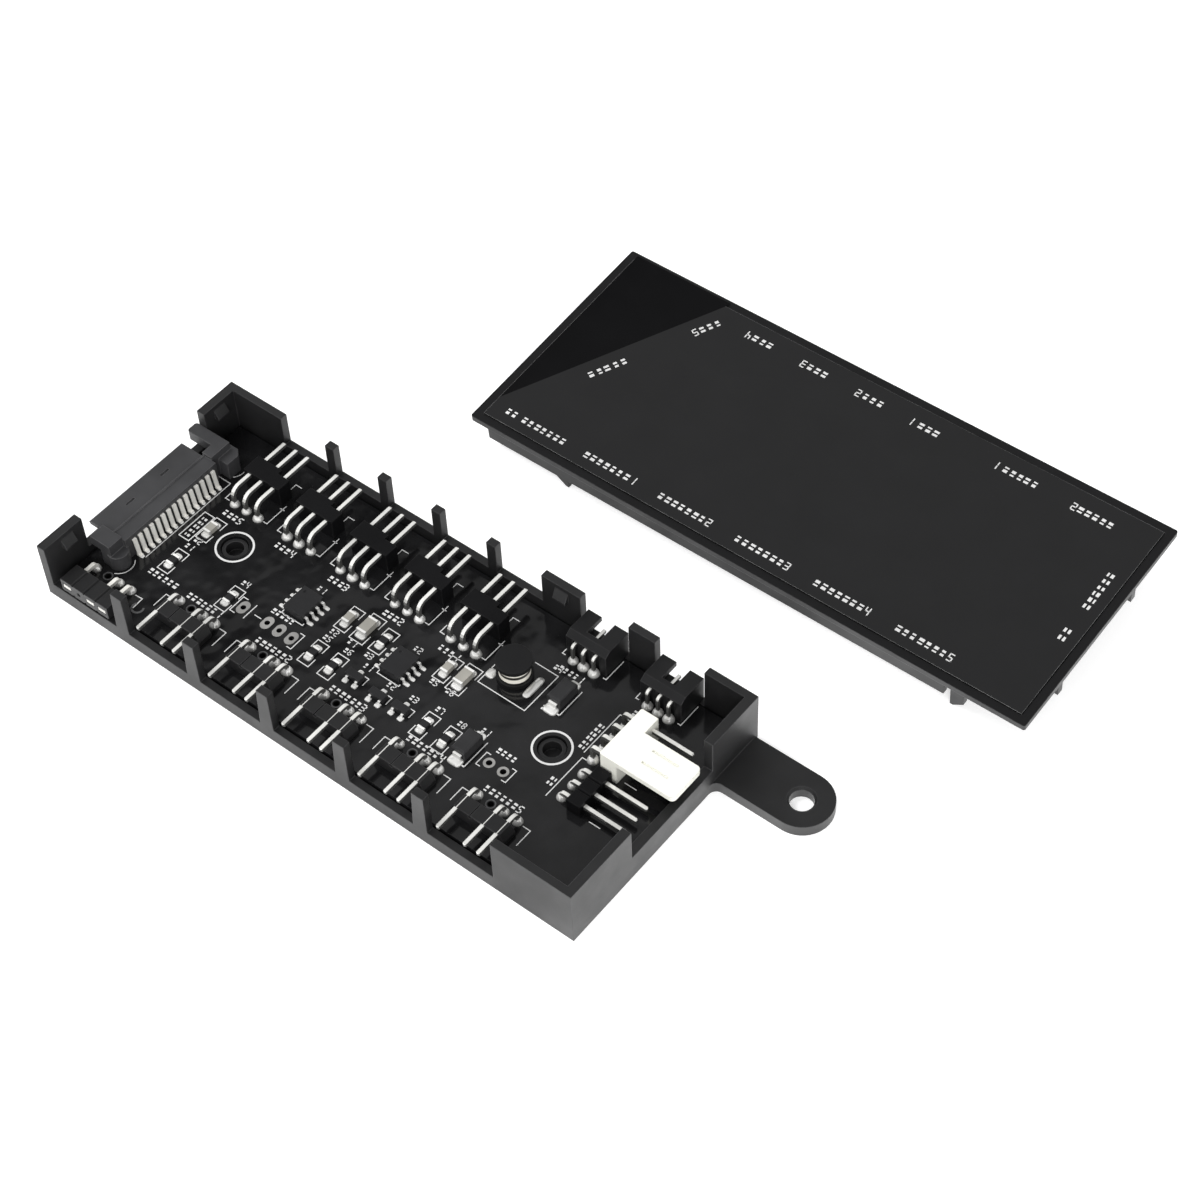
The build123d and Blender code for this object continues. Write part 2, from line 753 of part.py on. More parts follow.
# Power inlet housing: a tongue with a turned-down key, a lipped block behind it, and a plate at each end
# that stands on a peg, the back one with a guide arm
inlet_middle = tray_width / 2
block_front = inlet_middle - inlet_block_width / 2 + inlet_block_offset
block_back = block_front + inlet_block_width
block_end = inlet_block_start + inlet_block_depth
tongue_front = block_front - inlet_tongue_inset
contact_first = block_front + contact_from_block
contact_places = [contact_first + contact_pitch * n for n in range(contact_count)]
contact_z = board_top + contact_level
tongue_bottom = contact_z + contact_thickness / 2
plate_top = board_top + inlet_arm_height
front_plate = block_front - inlet_front_plate_width
back_plate = inlet_opening_end - inlet_side_gap
with BuildPart() as inlet_housing:
    with BuildSketch(flat_plane(board_top)):
        with Locations((inlet_block_start, block_front)):
            Rectangle(inlet_block_depth, inlet_block_width, align=Align.MIN)
    extrude(amount=inlet_block_height)
    with BuildSketch(flat_plane(board_top + inlet_block_height)):
        with Locations((inlet_block_start, block_front)):
            Rectangle(inlet_lip_width, inlet_block_width, align=Align.MIN)
    extrude(amount=inlet_lip_height)
    with BuildSketch(flat_plane(tongue_bottom)):
        with Locations((inlet_tongue_start, tongue_front)):
            Rectangle(inlet_block_start - inlet_tongue_start, inlet_tongue_width, align=Align.MIN)
    extrude(amount=inlet_tongue_thickness)
    tongue_tip = inlet_housing.faces().sort_by(Axis.X)[0].edges().filter_by(Axis.Y)
    chamfer(tongue_tip, length=inlet_tip_bevel)
    with BuildSketch(flat_plane(tongue_bottom)):
        with Locations((inlet_block_start, tongue_front + inlet_tongue_width)):
            Rectangle(
                inlet_block_start - inlet_tongue_start - inlet_tip_bevel,
                inlet_key_width,
                align=(Align.MAX, Align.MAX),
            )
    extrude(amount=-inlet_key_drop)

    # End plates, the guide arm, and what carries the plates on the board
    with BuildSketch(flat_plane(plate_top)):
        with Locations((inlet_front_plate_start, front_plate)):
            Rectangle(
                inlet_front_plate_end - inlet_front_plate_start,
                inlet_front_plate_width,
                align=Align.MIN,
            )
        with Locations((inlet_back_plate_start, block_back)):
            Rectangle(
                inlet_back_plate_end - inlet_back_plate_start,
                back_plate - block_back,
                align=Align.MIN,
            )
        with Locations((inlet_back_arm_start, back_plate)):
            Rectangle(
                inlet_back_plate_end - inlet_back_arm_start,
                inlet_back_arm_width,
                align=(Align.MIN, Align.MAX),
            )
    extrude(amount=-inlet_arm_drop)
    arm_tip = inlet_housing.faces().sort_by(Axis.X)[0].edges().filter_by(Axis.Z)
    fillet(arm_tip, radius=inlet_back_arm_round)
    with BuildSketch(flat_plane(board_top)):
        with Locations((inlet_block_start, front_plate)):
            Rectangle(inlet_front_plate_end - inlet_block_start, inlet_front_plate_width, align=Align.MIN)
        with Locations((inlet_block_start, block_back)):
            Rectangle(inlet_back_plate_end - inlet_block_start, back_plate - block_back, align=Align.MIN)
    extrude(amount=inlet_arm_height - inlet_arm_drop)

    # What the housing stands on: a round peg at the front, a square foot with a cut corner at the back
    with BuildSketch(flat_plane(board_top)):
        with Locations((inlet_peg_centre, block_front - inlet_peg_offset)):
            Circle(inlet_peg_radius)
    extrude(amount=inlet_peg_height)
    foot_front = block_back + inlet_foot_offset
    foot_back = foot_front + inlet_foot_width
    foot_end = inlet_foot_start + inlet_foot_length
    with BuildSketch(flat_plane(board_top)):
        Polygon(
            (inlet_foot_start, foot_front),
            (foot_end, foot_front),
            (foot_end, foot_back - inlet_foot_bevel),
            (foot_end - inlet_foot_bevel, foot_back),
            (inlet_foot_start, foot_back),
            align=None,
        )
    extrude(amount=inlet_foot_height)
    with BuildSketch(cross_plane(inlet_block_start)):
        with Locations(*[(y, contact_z) for y in contact_places]):
            Rectangle(contact_width, contact_thickness)
    extrude(amount=inlet_block_depth, mode=Mode.SUBTRACT)
    slot_x = (inlet_tongue_start + inlet_block_start) / 2
    with BuildSketch(flat_plane(tongue_bottom + inlet_tongue_thickness)):
        slot_first = block_front + inlet_slot_from_block
        with Locations(*[(slot_x, slot_first + inlet_slot_spacing * n) for n in range(2)]):
            Rectangle(inlet_slot_width, inlet_slot_length)
    extrude(amount=-inlet_slot_depth, mode=Mode.SUBTRACT)
save(inlet_housing, "power_inlet_housing")

# Power inlet contacts: flat strips under the tongue, through the block and sloping down to the board
foot_level = board_top + contact_thickness / 2
bend_x = block_end + contact_straight
with BuildPart() as inlet_contacts:
    for y in contact_places:
        with BuildSketch(long_plane(y)):
            with BuildLine():
                Polyline(
                    (contact_start, contact_z),
                    (bend_x, contact_z),
                    (bend_x + contact_slope, foot_level),
                    (bend_x + contact_slope + contact_foot, foot_level),
                )
            trace(line_width=contact_thickness)
        extrude(amount=contact_width / 2, both=True)
save(inlet_contacts, "power_inlet_contacts")


def leads(places, z_start, reach, thickness):
    """Gull-wing leads, one for each plane, start and way: out of the body, down and onto the board."""
    foot = board_top + thickness / 2
    with BuildPart() as lead_set:
        for plane, start, way, width in places:
            with BuildSketch(plane):
                with BuildLine():
                    Polyline(
                        (start, z_start),
                        (start + way * reach * 0.4, z_start),
                        (start + way * reach * 0.55, foot),
                        (start + way * reach, foot),
                    )
                trace(line_width=thickness)
            extrude(amount=width / 2, both=True)
    return lead_set


# Control chips: moulded bodies with a dimple at lead one, and four leads on each long side
for number, (x, y) in enumerate(spread(chip_places), start=1):
    with BuildPart() as chip_body:
        with BuildSketch(flat_plane(board_top + chip_standoff)):
            with Locations((x, y)):
                Rectangle(chip_width, chip_length)
        extrude(amount=chip_height)
        with BuildSketch(flat_plane(board_top + chip_standoff + chip_height)):
            with Locations((x - chip_width / 2 + 3 * chip_dimple, y + chip_length / 2 - 3 * chip_dimple)):
                Circle(chip_dimple)
        extrude(amount=-chip_dimple / 2, mode=Mode.SUBTRACT)
    save(chip_body, f"control_chip_body_{number}")
    chip_leads = []
    for n in range(chip_lead_row):
        lead_y = y + chip_lead_pitch * (n - (chip_lead_row - 1) / 2)
        for way in (-1, 1):
            chip_leads.append((long_plane(lead_y), x + way * chip_width / 2, way, chip_lead_width))
    lead_z = board_top + chip_standoff + chip_height / 2
    save(leads(chip_leads, lead_z, chip_lead_reach, chip_lead_thickness), f"control_chip_leads_{number}")

# Transistors: two leads to the front and one to the back
with BuildPart() as transistor_bodies:
    with BuildSketch(flat_plane(board_top + chip_standoff)):
        with Locations(*spread(transistor_places)):
            Rectangle(transistor_length, transistor_width)
    extrude(amount=transistor_height)
save(transistor_bodies, "transistor_bodies")
transistor_leads = []
for x, y in spread(transistor_places):
    for offset, way in ((-0.5, -1), (0.5, -1), (0, 1)):
        lead_plane = cross_plane(x + transistor_lead_spacing * offset)
        transistor_leads.append((lead_plane, y + way * transistor_width / 2, way, transistor_lead_width))
lead_z = board_top + chip_standoff + transistor_height / 2
save(leads(transistor_leads, lead_z, transistor_lead_reach, diode_lead_thickness / 2), "transistor_leads")

# Power diodes: drafted blocks with one broad lead at each end
with BuildPart() as diode_bodies:
    with BuildSketch(flat_plane(board_top + chip_standoff)):
        with Locations(*spread(diode_places)):
            Rectangle(diode_width, diode_length)
    extrude(amount=diode_height)
    chamfer(diode_bodies.faces().group_by(Axis.Z)[-1].edges(), length=diode_draft)
save(diode_bodies, "diode_bodies")
diode_leads = []
for x, y in spread(diode_places):
    for way in (-1, 1):
        diode_leads.append((cross_plane(x), y + way * diode_length / 2, way, diode_lead_width))
lead_z = board_top + chip_standoff + diode_height / 2
save(leads(diode_leads, lead_z, diode_lead_reach, diode_lead_thickness), "diode_leads")

# Inductor: a drum core turned about its upright axis, and the winding in its waist
inductor_x, inductor_y = spread([inductor_place])[0]
inductor_plane = cross_plane(inductor_x)
winding_bottom = board_top + inductor_flange_thickness + inductor_winding_gap
winding_top = board_top + inductor_height - inductor_flange_thickness - inductor_winding_gap
inductor_origin = flat_plane(board_top).from_local_coords((inductor_x, inductor_y, 0))
inductor_axis = Axis(inductor_origin, (0, 0, 1))
with BuildPart() as inductor_core_part:
    with BuildSketch(inductor_plane):
        with Locations((inductor_y, board_top)):
            Rectangle(inductor_core / 2, inductor_height, align=Align.MIN)
            Rectangle(inductor_flange / 2, inductor_flange_thickness, align=Align.MIN)
        with Locations((inductor_y, board_top + inductor_height)):
            Rectangle(inductor_flange / 2, inductor_flange_thickness, align=(Align.MIN, Align.MAX))
    revolve(axis=inductor_axis)
save(inductor_core_part, "inductor_core")
with BuildPart() as inductor_winding_part:
    with BuildSketch(inductor_plane):
        with Locations((inductor_y + inductor_core / 2, winding_bottom)):
            Rectangle((inductor_winding - inductor_core) / 2, winding_top - winding_bottom, align=Align.MIN)
    revolve(axis=inductor_axis)
save(inductor_winding_part, "inductor_winding")


def chip_parts(sizes):
    """Bodies and metal end caps of two-ended chip parts, each given by its places and sizes."""
    with BuildPart() as bodies:
        for places, width, length, height in sizes:
            with BuildSketch(flat_plane(board_top)):
                with Locations(*spread(places)):
                    Rectangle(width, length - 2 * chip_end_length)
            extrude(amount=height)
    with BuildPart() as ends:
        for places, width, length, height in sizes:
            with BuildSketch(flat_plane(board_top)):
                for way in (-1, 1):
                    end_shift = way * (length - chip_end_length) / 2
                    with Locations(*[(x, y + end_shift) for x, y in spread(places)]):
                        Rectangle(width + 2 * chip_end_plate, chip_end_length)
            extrude(amount=height + chip_end_plate)
    return bodies, ends


# Chip resistors and ceramic capacitors: a body with a plated cap at each end
resistors = (resistor_places, resistor_width, resistor_length, resistor_height)
resistor_bodies, resistor_ends = chip_parts([resistors])
save(resistor_bodies, "resistor_bodies")
save(resistor_ends, "resistor_ends")
capacitor_bodies, capacitor_ends = chip_parts([
    (capacitor_places, capacitor_width, capacitor_length, capacitor_height),
    (large_capacitor_places, large_capacitor_width, large_capacitor_length, large_capacitor_height),
])
save(capacitor_bodies, "capacitor_bodies")
save(capacitor_ends, "capacitor_ends")

# Resting place of the cover: it stands on its front hooks and on its two posts, which are longer
post_depth = tray_height + cover_plate - board_top - post_clearance
cover_length = tray_length - 2 * cover_side_gap
cover_width = tray_width - 2 * cover_edge_gap
post_places = [(x - cover_side_gap, y - cover_edge_gap) for x, y in board_hole_places]
hook_back = skirt_inset + skirt_thickness
cover_tilt = atan2(post_depth - hook_depth, post_places[0][1] - post_diameter / 2 - hook_back)
cover_height = hook_depth * cos(cover_tilt) - hook_back * sin(cover_tilt)
turn = radians(cover_turn)
cover_origin = flat_plane(0).from_local_coords((cover_left, cover_front, cover_height))
cover_top = Plane(
    cover_origin,
    x_dir=(cos(turn), sin(turn), 0),
    z_dir=(sin(turn) * sin(cover_tilt), -cos(turn) * sin(cover_tilt), cos(cover_tilt)),
)


def cover_section(v):
    """Upright plane along the cover at depth v, with x along its length and y up from its top face."""
    return Plane(cover_top.from_local_coords((0, v, 0)), x_dir=cover_top.x_dir, z_dir=-cover_top.y_dir)


def cover_profile(u):
    """Upright plane across the cover at length u, with x to its back and y up from its top face."""
    return Plane(cover_top.from_local_coords((u, 0, 0)), x_dir=cover_top.y_dir, z_dir=cover_top.x_dir)


# Cover frame: plate with a recess, front and back skirts, hooks, snap tabs and two hold-down posts
tab_start = end_wall - cover_side_gap + bump_depth + tab_gap
tab_back = cover_width - (long_wall - cover_edge_gap + bump_depth + tab_gap)
front_hook_right = cover_length - front_hook_from_right
with BuildPart() as cover_frame:
    with BuildSketch(cover_top):
        with Locations((cover_length / 2, cover_width / 2)):
            RectangleRounded(cover_length, cover_width, cover_corner)
    extrude(amount=-cover_plate)
    with BuildSketch(cover_top):
        with Locations((cover_length / 2, cover_width / 2)):
            Rectangle(cover_length - 2 * cover_rim, cover_width - 2 * cover_rim)
    extrude(amount=-panel_recess, mode=Mode.SUBTRACT)
    with BuildSketch(cover_top.offset(-cover_plate)):
        with Locations((skirt_start, skirt_inset)):
            Rectangle(cover_length - skirt_from_right - skirt_start, skirt_thickness, align=Align.MIN)
        with Locations((back_skirt_start, cover_width - skirt_inset)):
            Rectangle(
                cover_length - back_skirt_from_right - back_skirt_start,
                skirt_thickness,
                align=(Align.MIN, Align.MAX),
            )
    extrude(amount=cover_plate - skirt_depth)

    # Front hooks: leaning prongs with a blunt tip, mirrored about the middle of the bays
    with BuildSketch(cover_section(skirt_inset)):
        Polygon(
            (front_hook_left, -cover_plate),
            (front_hook_left, -skirt_depth),
            (front_hook_left + hook_width - hook_flat, -hook_depth),
            (front_hook_left + hook_width, -hook_depth),
            (front_hook_left + hook_width, -cover_plate),
            align=None,
        )
        Polygon(
            (front_hook_right, -cover_plate),
            (front_hook_right, -hook_depth),
            (front_hook_right + hook_flat, -hook_depth),
            (front_hook_right + hook_width, -skirt_depth),
            (front_hook_right + hook_width, -cover_plate),
            align=None,
        )
    extrude(amount=-skirt_thickness)

    # End hooks beside the right opening
    hook_right = cover_length - (end_wall - cover_side_gap) - tab_gap
    hook_front = right_opening_start - cover_edge_gap - end_hook_setback - end_hook_width
    hook_back_end = right_opening_end - cover_edge_gap + end_hook_setback
    with BuildSketch(cover_section(hook_front), cover_section(hook_back_end)):
        with Locations((hook_right, -cover_plate)):
            Rectangle(skirt_thickness, hook_depth - cover_plate, align=(Align.MAX, Align.MAX))
    extrude(amount=-end_hook_width)

    # Snap tabs with a window for each bump of the tray
    with BuildSketch(cover_profile(tab_start)):
        for v in [middle - cover_edge_gap for middle in end_bump_middles]:
            with Locations((v, -cover_plate)):
                Rectangle(tab_width, tab_depth - cover_plate, align=(Align.CENTER, Align.MAX))
            with Locations((v, -cover_plate - bump_top_drop)):
                Rectangle(
                    bump_width + 2 * tab_window_gap,
                    bump_height + tab_window_gap,
                    align=(Align.CENTER, Align.MAX),
                    mode=Mode.SUBTRACT,
                )
    extrude(amount=tab_thickness)
    with BuildSketch(cover_section(tab_back)):
        with Locations((back_bump_x - cover_side_gap, -cover_plate)):
            Rectangle(tab_width, tab_depth - cover_plate, align=(Align.CENTER, Align.MAX))
        with Locations((back_bump_x - cover_side_gap, -cover_plate - bump_top_drop)):
            Rectangle(
                bump_width + 2 * tab_window_gap,
                bump_height + tab_window_gap,
                align=(Align.CENTER, Align.MAX),
                mode=Mode.SUBTRACT,
            )
    extrude(amount=tab_thickness)

    # Hold-down posts over the two board holes
    with BuildSketch(cover_top.offset(-cover_plate)):
        with Locations(*post_places):
            Circle(post_diameter / 2)
            Circle(post_bore / 2, mode=Mode.SUBTRACT)
    extrude(amount=cover_plate - post_depth)
save(cover_frame, "cover_frame")

# Cover panel: a glossy sheet bonded in the recess, standing slightly proud
panel_inset = cover_rim + panel_gap
with BuildPart() as cover_panel:
    with BuildSketch(cover_top.offset(-panel_recess)):
        with Locations((cover_length / 2, cover_width / 2)):
            Rectangle(cover_length - 2 * panel_inset, cover_width - 2 * panel_inset)
    extrude(amount=panel_thickness)
save(cover_panel, "cover_panel")
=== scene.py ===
import math
import random
import bmesh
import bpy
from mathutils import Matrix, Vector


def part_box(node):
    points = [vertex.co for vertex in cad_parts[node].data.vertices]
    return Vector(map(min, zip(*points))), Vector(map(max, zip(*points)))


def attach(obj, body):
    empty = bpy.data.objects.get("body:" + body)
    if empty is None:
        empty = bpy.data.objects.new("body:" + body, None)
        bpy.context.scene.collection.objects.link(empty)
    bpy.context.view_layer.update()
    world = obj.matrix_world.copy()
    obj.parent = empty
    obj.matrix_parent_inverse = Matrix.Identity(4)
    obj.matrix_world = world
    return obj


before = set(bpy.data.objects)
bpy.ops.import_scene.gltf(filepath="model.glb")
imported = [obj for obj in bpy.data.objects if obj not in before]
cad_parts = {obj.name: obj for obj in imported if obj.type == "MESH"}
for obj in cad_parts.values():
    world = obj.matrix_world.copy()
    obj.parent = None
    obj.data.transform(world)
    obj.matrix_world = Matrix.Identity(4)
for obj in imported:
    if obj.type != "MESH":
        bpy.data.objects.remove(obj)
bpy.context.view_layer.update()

# The photograph's view: a long lens above the hub's front right corner, turned a
# little about its own axis, so that the hub lies low on the left and its cover
# high on the right.
camera_place = Vector((0.18904, -0.17143, 0.32394))
bearing = math.radians(40.553)
elevation = math.radians(50.817)
camera_roll = math.radians(-2.708)
toward = Vector((
    math.sin(bearing) * math.cos(elevation),
    -math.cos(bearing) * math.cos(elevation),
    math.sin(elevation),
))
level = (-toward).cross(Vector((0, 0, 1))).normalized()
down = (-toward).cross(level)
image_right = level * math.cos(camera_roll) - down * math.sin(camera_roll)
image_up = -(level * math.sin(camera_roll) + down * math.cos(camera_roll))
camera_data = bpy.data.cameras.new("camera")
camera_data.lens = 80.0
camera_data.sensor_width = 36.0
camera_data.sensor_fit = "HORIZONTAL"
camera_data.clip_start = 0.01
camera = bpy.data.objects.new("camera", camera_data)
bpy.context.scene.collection.objects.link(camera)
turn = Matrix((image_right, image_up, toward)).transposed().to_4x4()
camera.matrix_world = Matrix.Translation(camera_place) @ turn
bpy.context.scene.camera = camera
bpy.context.scene.view_settings.view_transform = "Standard"

# The studio: a white table top that keeps the hub's soft shadow, a bright room
# with a dimmer ceiling and a dark card high behind the left end, and two soft
# boxes, which light the hub but aren't mirrored in it.
table_level = -0.00003
table_reach = 3
table_colour = (0.82, 0.82, 0.82, 1)
table_glow = 0.5
room_light = 0.5
card_direction = (-0.78681, 0.5736, 0.22786)
soft_box_size = 0.5


def add(tree, kind, inputs=None, **settings):
    """Adds a shader node, gives it its settings, and sets or links its inputs."""
    made = tree.nodes.new("ShaderNode" + kind)
    for key, value in settings.items():
        setattr(made, key, value)
    for key, value in (inputs or {}).items():
        if isinstance(value, bpy.types.NodeSocket):
            tree.links.new(value, made.inputs[key])
        else:
            made.inputs[key].default_value = value
    return made


def looking_rays(tree, path):
    """One for the rays that see the studio, straight, in a gloss or through glass."""
    rays = add(tree, "Math", {0: path.outputs["Is Camera Ray"], 1: path.outputs["Is Glossy Ray"]},
               operation="ADD")
    return add(tree, "Math", {0: rays.outputs[0], 1: path.outputs["Is Transmission Ray"]},
               operation="ADD", use_clamp=True)


table_mesh = bpy.data.meshes.new("table_top")
table_corners = [(x * table_reach, y * table_reach, table_level)
                 for x, y in ((-1, -1), (1, -1), (1, 1), (-1, 1))]
table_mesh.from_pydata(table_corners, [], [(0, 1, 2, 3)])
floor = bpy.data.objects.new("table_top", table_mesh)
bpy.context.scene.collection.objects.link(floor)
table_white = bpy.data.materials.new("table_white")
table_white.use_nodes = True
tree = table_white.node_tree
tree.nodes.clear()
path = add(tree, "LightPath")
seen = looking_rays(tree, path)
matt = add(tree, "BsdfDiffuse", {"Color": table_colour})
where = add(tree, "TexCoord")
axes = add(tree, "SeparateXYZ", {0: where.outputs["Object"]})
# The table glows brighter towards its right, seen only in reflections: a glow that stands in for a lamp,
# mirrored in the hub's right end.
glossy_glow_ramp = add(tree, "MapRange", {"Value": axes.outputs["X"], "From Min": 0.042, "From Max": 0.056,
                                    "To Min": 0.0, "To Max": 0.75})
brighter = add(tree, "Math", {0: glossy_glow_ramp.outputs[0], 1: path.outputs["Is Glossy Ray"], 2: table_glow},
               operation="MULTIPLY_ADD")
glow = add(tree, "Emission", {"Color": (1, 1, 1, 1), "Strength": brighter.outputs[0]})
both = add(tree, "AddShader", {0: matt.outputs[0], 1: glow.outputs[0]})
mixed = add(tree, "MixShader", {0: seen.outputs[0], 1: matt.outputs[0], 2: both.outputs[0]})
add(tree, "OutputMaterial", {"Surface": mixed.outputs[0]})
table_mesh.materials.append(table_white)

world = bpy.data.worlds.new("room")
bpy.context.scene.world = world
world.use_nodes = True
tree = world.node_tree
tree.nodes.clear()
where = add(tree, "TexCoord")
axes = add(tree, "SeparateXYZ", {0: where.outputs["Generated"]})
ceiling = add(tree, "MapRange", {"Value": axes.outputs["Z"], "From Min": 0.15, "From Max": 0.75,
                                 "To Min": 1.0, "To Max": 0.42})
path = add(tree, "LightPath")
seen = looking_rays(tree, path)
card_way = add(tree, "VectorMath", {0: where.outputs["Generated"], 1: card_direction},
               operation="DOT_PRODUCT")
card_edge = add(tree, "MapRange", {"Value": card_way.outputs["Value"], "From Min": 0.7905,
                                   "From Max": 0.7965, "To Min": 0.0, "To Max": 1.0})
card_dark = add(tree, "MapRange", {"Value": card_way.outputs["Value"], "From Min": 0.85,
                                   "From Max": 0.90, "To Min": 0.94, "To Max": 0.0})
card = add(tree, "Math", {0: card_edge.outputs[0], 1: card_dark.outputs[0]}, operation="MULTIPLY")
card = add(tree, "Math", {0: card.outputs[0], 1: path.outputs["Is Glossy Ray"]}, operation="MULTIPLY")
past_card = add(tree, "Math", {0: 1.0, 1: card.outputs[0]}, operation="SUBTRACT")
wall_light = add(tree, "Math", {0: ceiling.outputs[0], 1: past_card.outputs[0]}, operation="MULTIPLY")
room = add(tree, "Background", {"Color": (1, 1, 1, 1), "Strength": room_light})
walls = add(tree, "Background", {"Color": (1, 1, 1, 1), "Strength": wall_light.outputs[0]})
mixed = add(tree, "MixShader", {0: seen.outputs[0], 1: room.outputs[0], 2: walls.outputs[0]})
add(tree, "OutputWorld", {"Surface": mixed.outputs[0]})


def soft_box(name, place, aim, power):
    """A square soft box that points from its place to its aim."""
    lamp_data = bpy.data.lights.new(name, "AREA")
    lamp_data.shape = "SQUARE"
    lamp_data.size = soft_box_size
    lamp_data.energy = power
    lamp = bpy.data.objects.new(name, lamp_data)
    bpy.context.scene.collection.objects.link(lamp)
    lamp.visible_glossy = False
    lamp.location = place
    lamp.rotation_euler = (Vector(aim) - Vector(place)).to_track_quat("-Z", "Y").to_euler()


soft_box("front_box", (0.45, -0.55, 0.42), (0, 0, 0), 5.0)
soft_box("high_box", (-0.55, -0.1, 0.75), (0, 0.03, 0), 6.0)

# The tray: one black moulding with the fine grain of a spark-eroded mould. Its
# long walls are cut down into bays for the plugs, a screw ear stands out of its
# right end, and its tone is a little uneven. Its edges are painted a lighter grey
# in broken patches: painted highlight.
colour_kind = "NodeSocketColor"
number_kind = "NodeSocketFloat"
vector_kind = "NodeSocketVector"


def shader_group(name, inputs, outputs):
    """A node group with named sockets, and the nodes that stand for its two ends."""
    group = bpy.data.node_groups.new(name, "ShaderNodeTree")
    for label, kind, value in inputs:
        socket = group.interface.new_socket(name=label, in_out="INPUT", socket_type=kind)
        socket.default_value = value
    for label, kind in outputs:
        group.interface.new_socket(name=label, in_out="OUTPUT", socket_type=kind)
    return group, group.nodes.new("NodeGroupInput").outputs, group.nodes.new("NodeGroupOutput").inputs


surface_grain, given, result = shader_group(
    "surface_grain",
    [("Colour", colour_kind, (0.5, 0.5, 0.5, 1)), ("Mottle", number_kind, 0.2),
     ("Mottle Scale", number_kind, 120.0), ("Grain Scale", number_kind, 3500.0),
     ("Grain Depth", number_kind, 0.2), ("Grain Height", number_kind, 0.00003),
     ("Gloss Low", number_kind, 0.4), ("Gloss High", number_kind, 0.6), ("Normal", vector_kind, (0, 0, 0))],
    [("Colour", colour_kind), ("Roughness", number_kind), ("Normal", vector_kind)])
where = add(surface_grain, "TexCoord")
slow = add(surface_grain, "TexNoise", {"Vector": where.outputs["Object"], "Scale": given["Mottle Scale"],
                                       "Detail": 3.0, "Roughness": 0.6})
fine = add(surface_grain, "TexNoise", {"Vector": where.outputs["Object"], "Scale": given["Grain Scale"],
                                       "Detail": 2.0, "Roughness": 0.5})
swing = add(surface_grain, "MapRange", {"Value": slow.outputs["Fac"], "From Min": 0.3, "From Max": 0.7,
                                        "To Min": -1.0, "To Max": 1.0})
tone = add(surface_grain, "Math", {0: swing.outputs[0], 1: given["Mottle"], 2: 1.0},
           operation="MULTIPLY_ADD")
shade = add(surface_grain, "VectorMath", {0: given["Colour"], "Scale": tone.outputs[0]}, operation="SCALE")
gloss = add(surface_grain, "MapRange", {"Value": slow.outputs["Fac"], "From Min": 0.3, "From Max": 0.7,
                                        "To Min": given["Gloss Low"], "To Max": given["Gloss High"]})
bump = add(surface_grain, "Bump", {"Strength": given["Grain Depth"], "Distance": given["Grain Height"],
                                   "Height": fine.outputs["Fac"], "Normal": given["Normal"]})
surface_grain.links.new(shade.outputs[0], result["Colour"])
surface_grain.links.new(gloss.outputs[0], result["Roughness"])
surface_grain.links.new(bump.outputs[0], result["Normal"])

# Painted edge shading: the edge colour is mixed in along the edges, in broken patches, as a painted highlight
# where it is lighter than the colour and painted shade where it is darker.
painted_edge_shading, given, result = shader_group(
    "painted_edge_shading",
    [("Colour", colour_kind, (0.5, 0.5, 0.5, 1)), ("Edge Colour", colour_kind, (0.8, 0.8, 0.8, 1)),
     ("Edge Width", number_kind, 0.0002), ("Amount", number_kind, 0.5)],
    [("Colour", colour_kind), ("Normal", vector_kind)])
rounded_normal = add(painted_edge_shading, "Bevel", {"Radius": given["Edge Width"]}, samples=4)
flat = add(painted_edge_shading, "NewGeometry")
along = add(painted_edge_shading, "VectorMath", {0: rounded_normal.outputs[0], 1: flat.outputs["Normal"]},
            operation="DOT_PRODUCT")
mask = add(painted_edge_shading, "MapRange", {"Value": along.outputs["Value"], "From Min": 0.995, "From Max": 0.8,
                                    "To Min": 0.0, "To Max": 1.0})
where = add(painted_edge_shading, "TexCoord")
patch = add(painted_edge_shading, "TexNoise", {"Vector": where.outputs["Object"], "Scale": 260.0, "Detail": 3.0})
broken = add(painted_edge_shading, "MapRange", {"Value": patch.outputs["Fac"], "From Min": 0.3, "From Max": 0.6,
                                      "To Min": 0.35, "To Max": 1.0})
amount = add(painted_edge_shading, "Math", {0: mask.outputs[0], 1: broken.outputs[0]}, operation="MULTIPLY")
amount = add(painted_edge_shading, "Math", {0: amount.outputs[0], 1: given["Amount"]}, operation="MULTIPLY")
blend = add(painted_edge_shading, "Mix", {0: amount.outputs[0], 6: given["Colour"], 7: given["Edge Colour"]},
            data_type="RGBA")
painted_edge_shading.links.new(blend.outputs[2], result["Colour"])
painted_edge_shading.links.new(rounded_normal.outputs[0], result["Normal"])


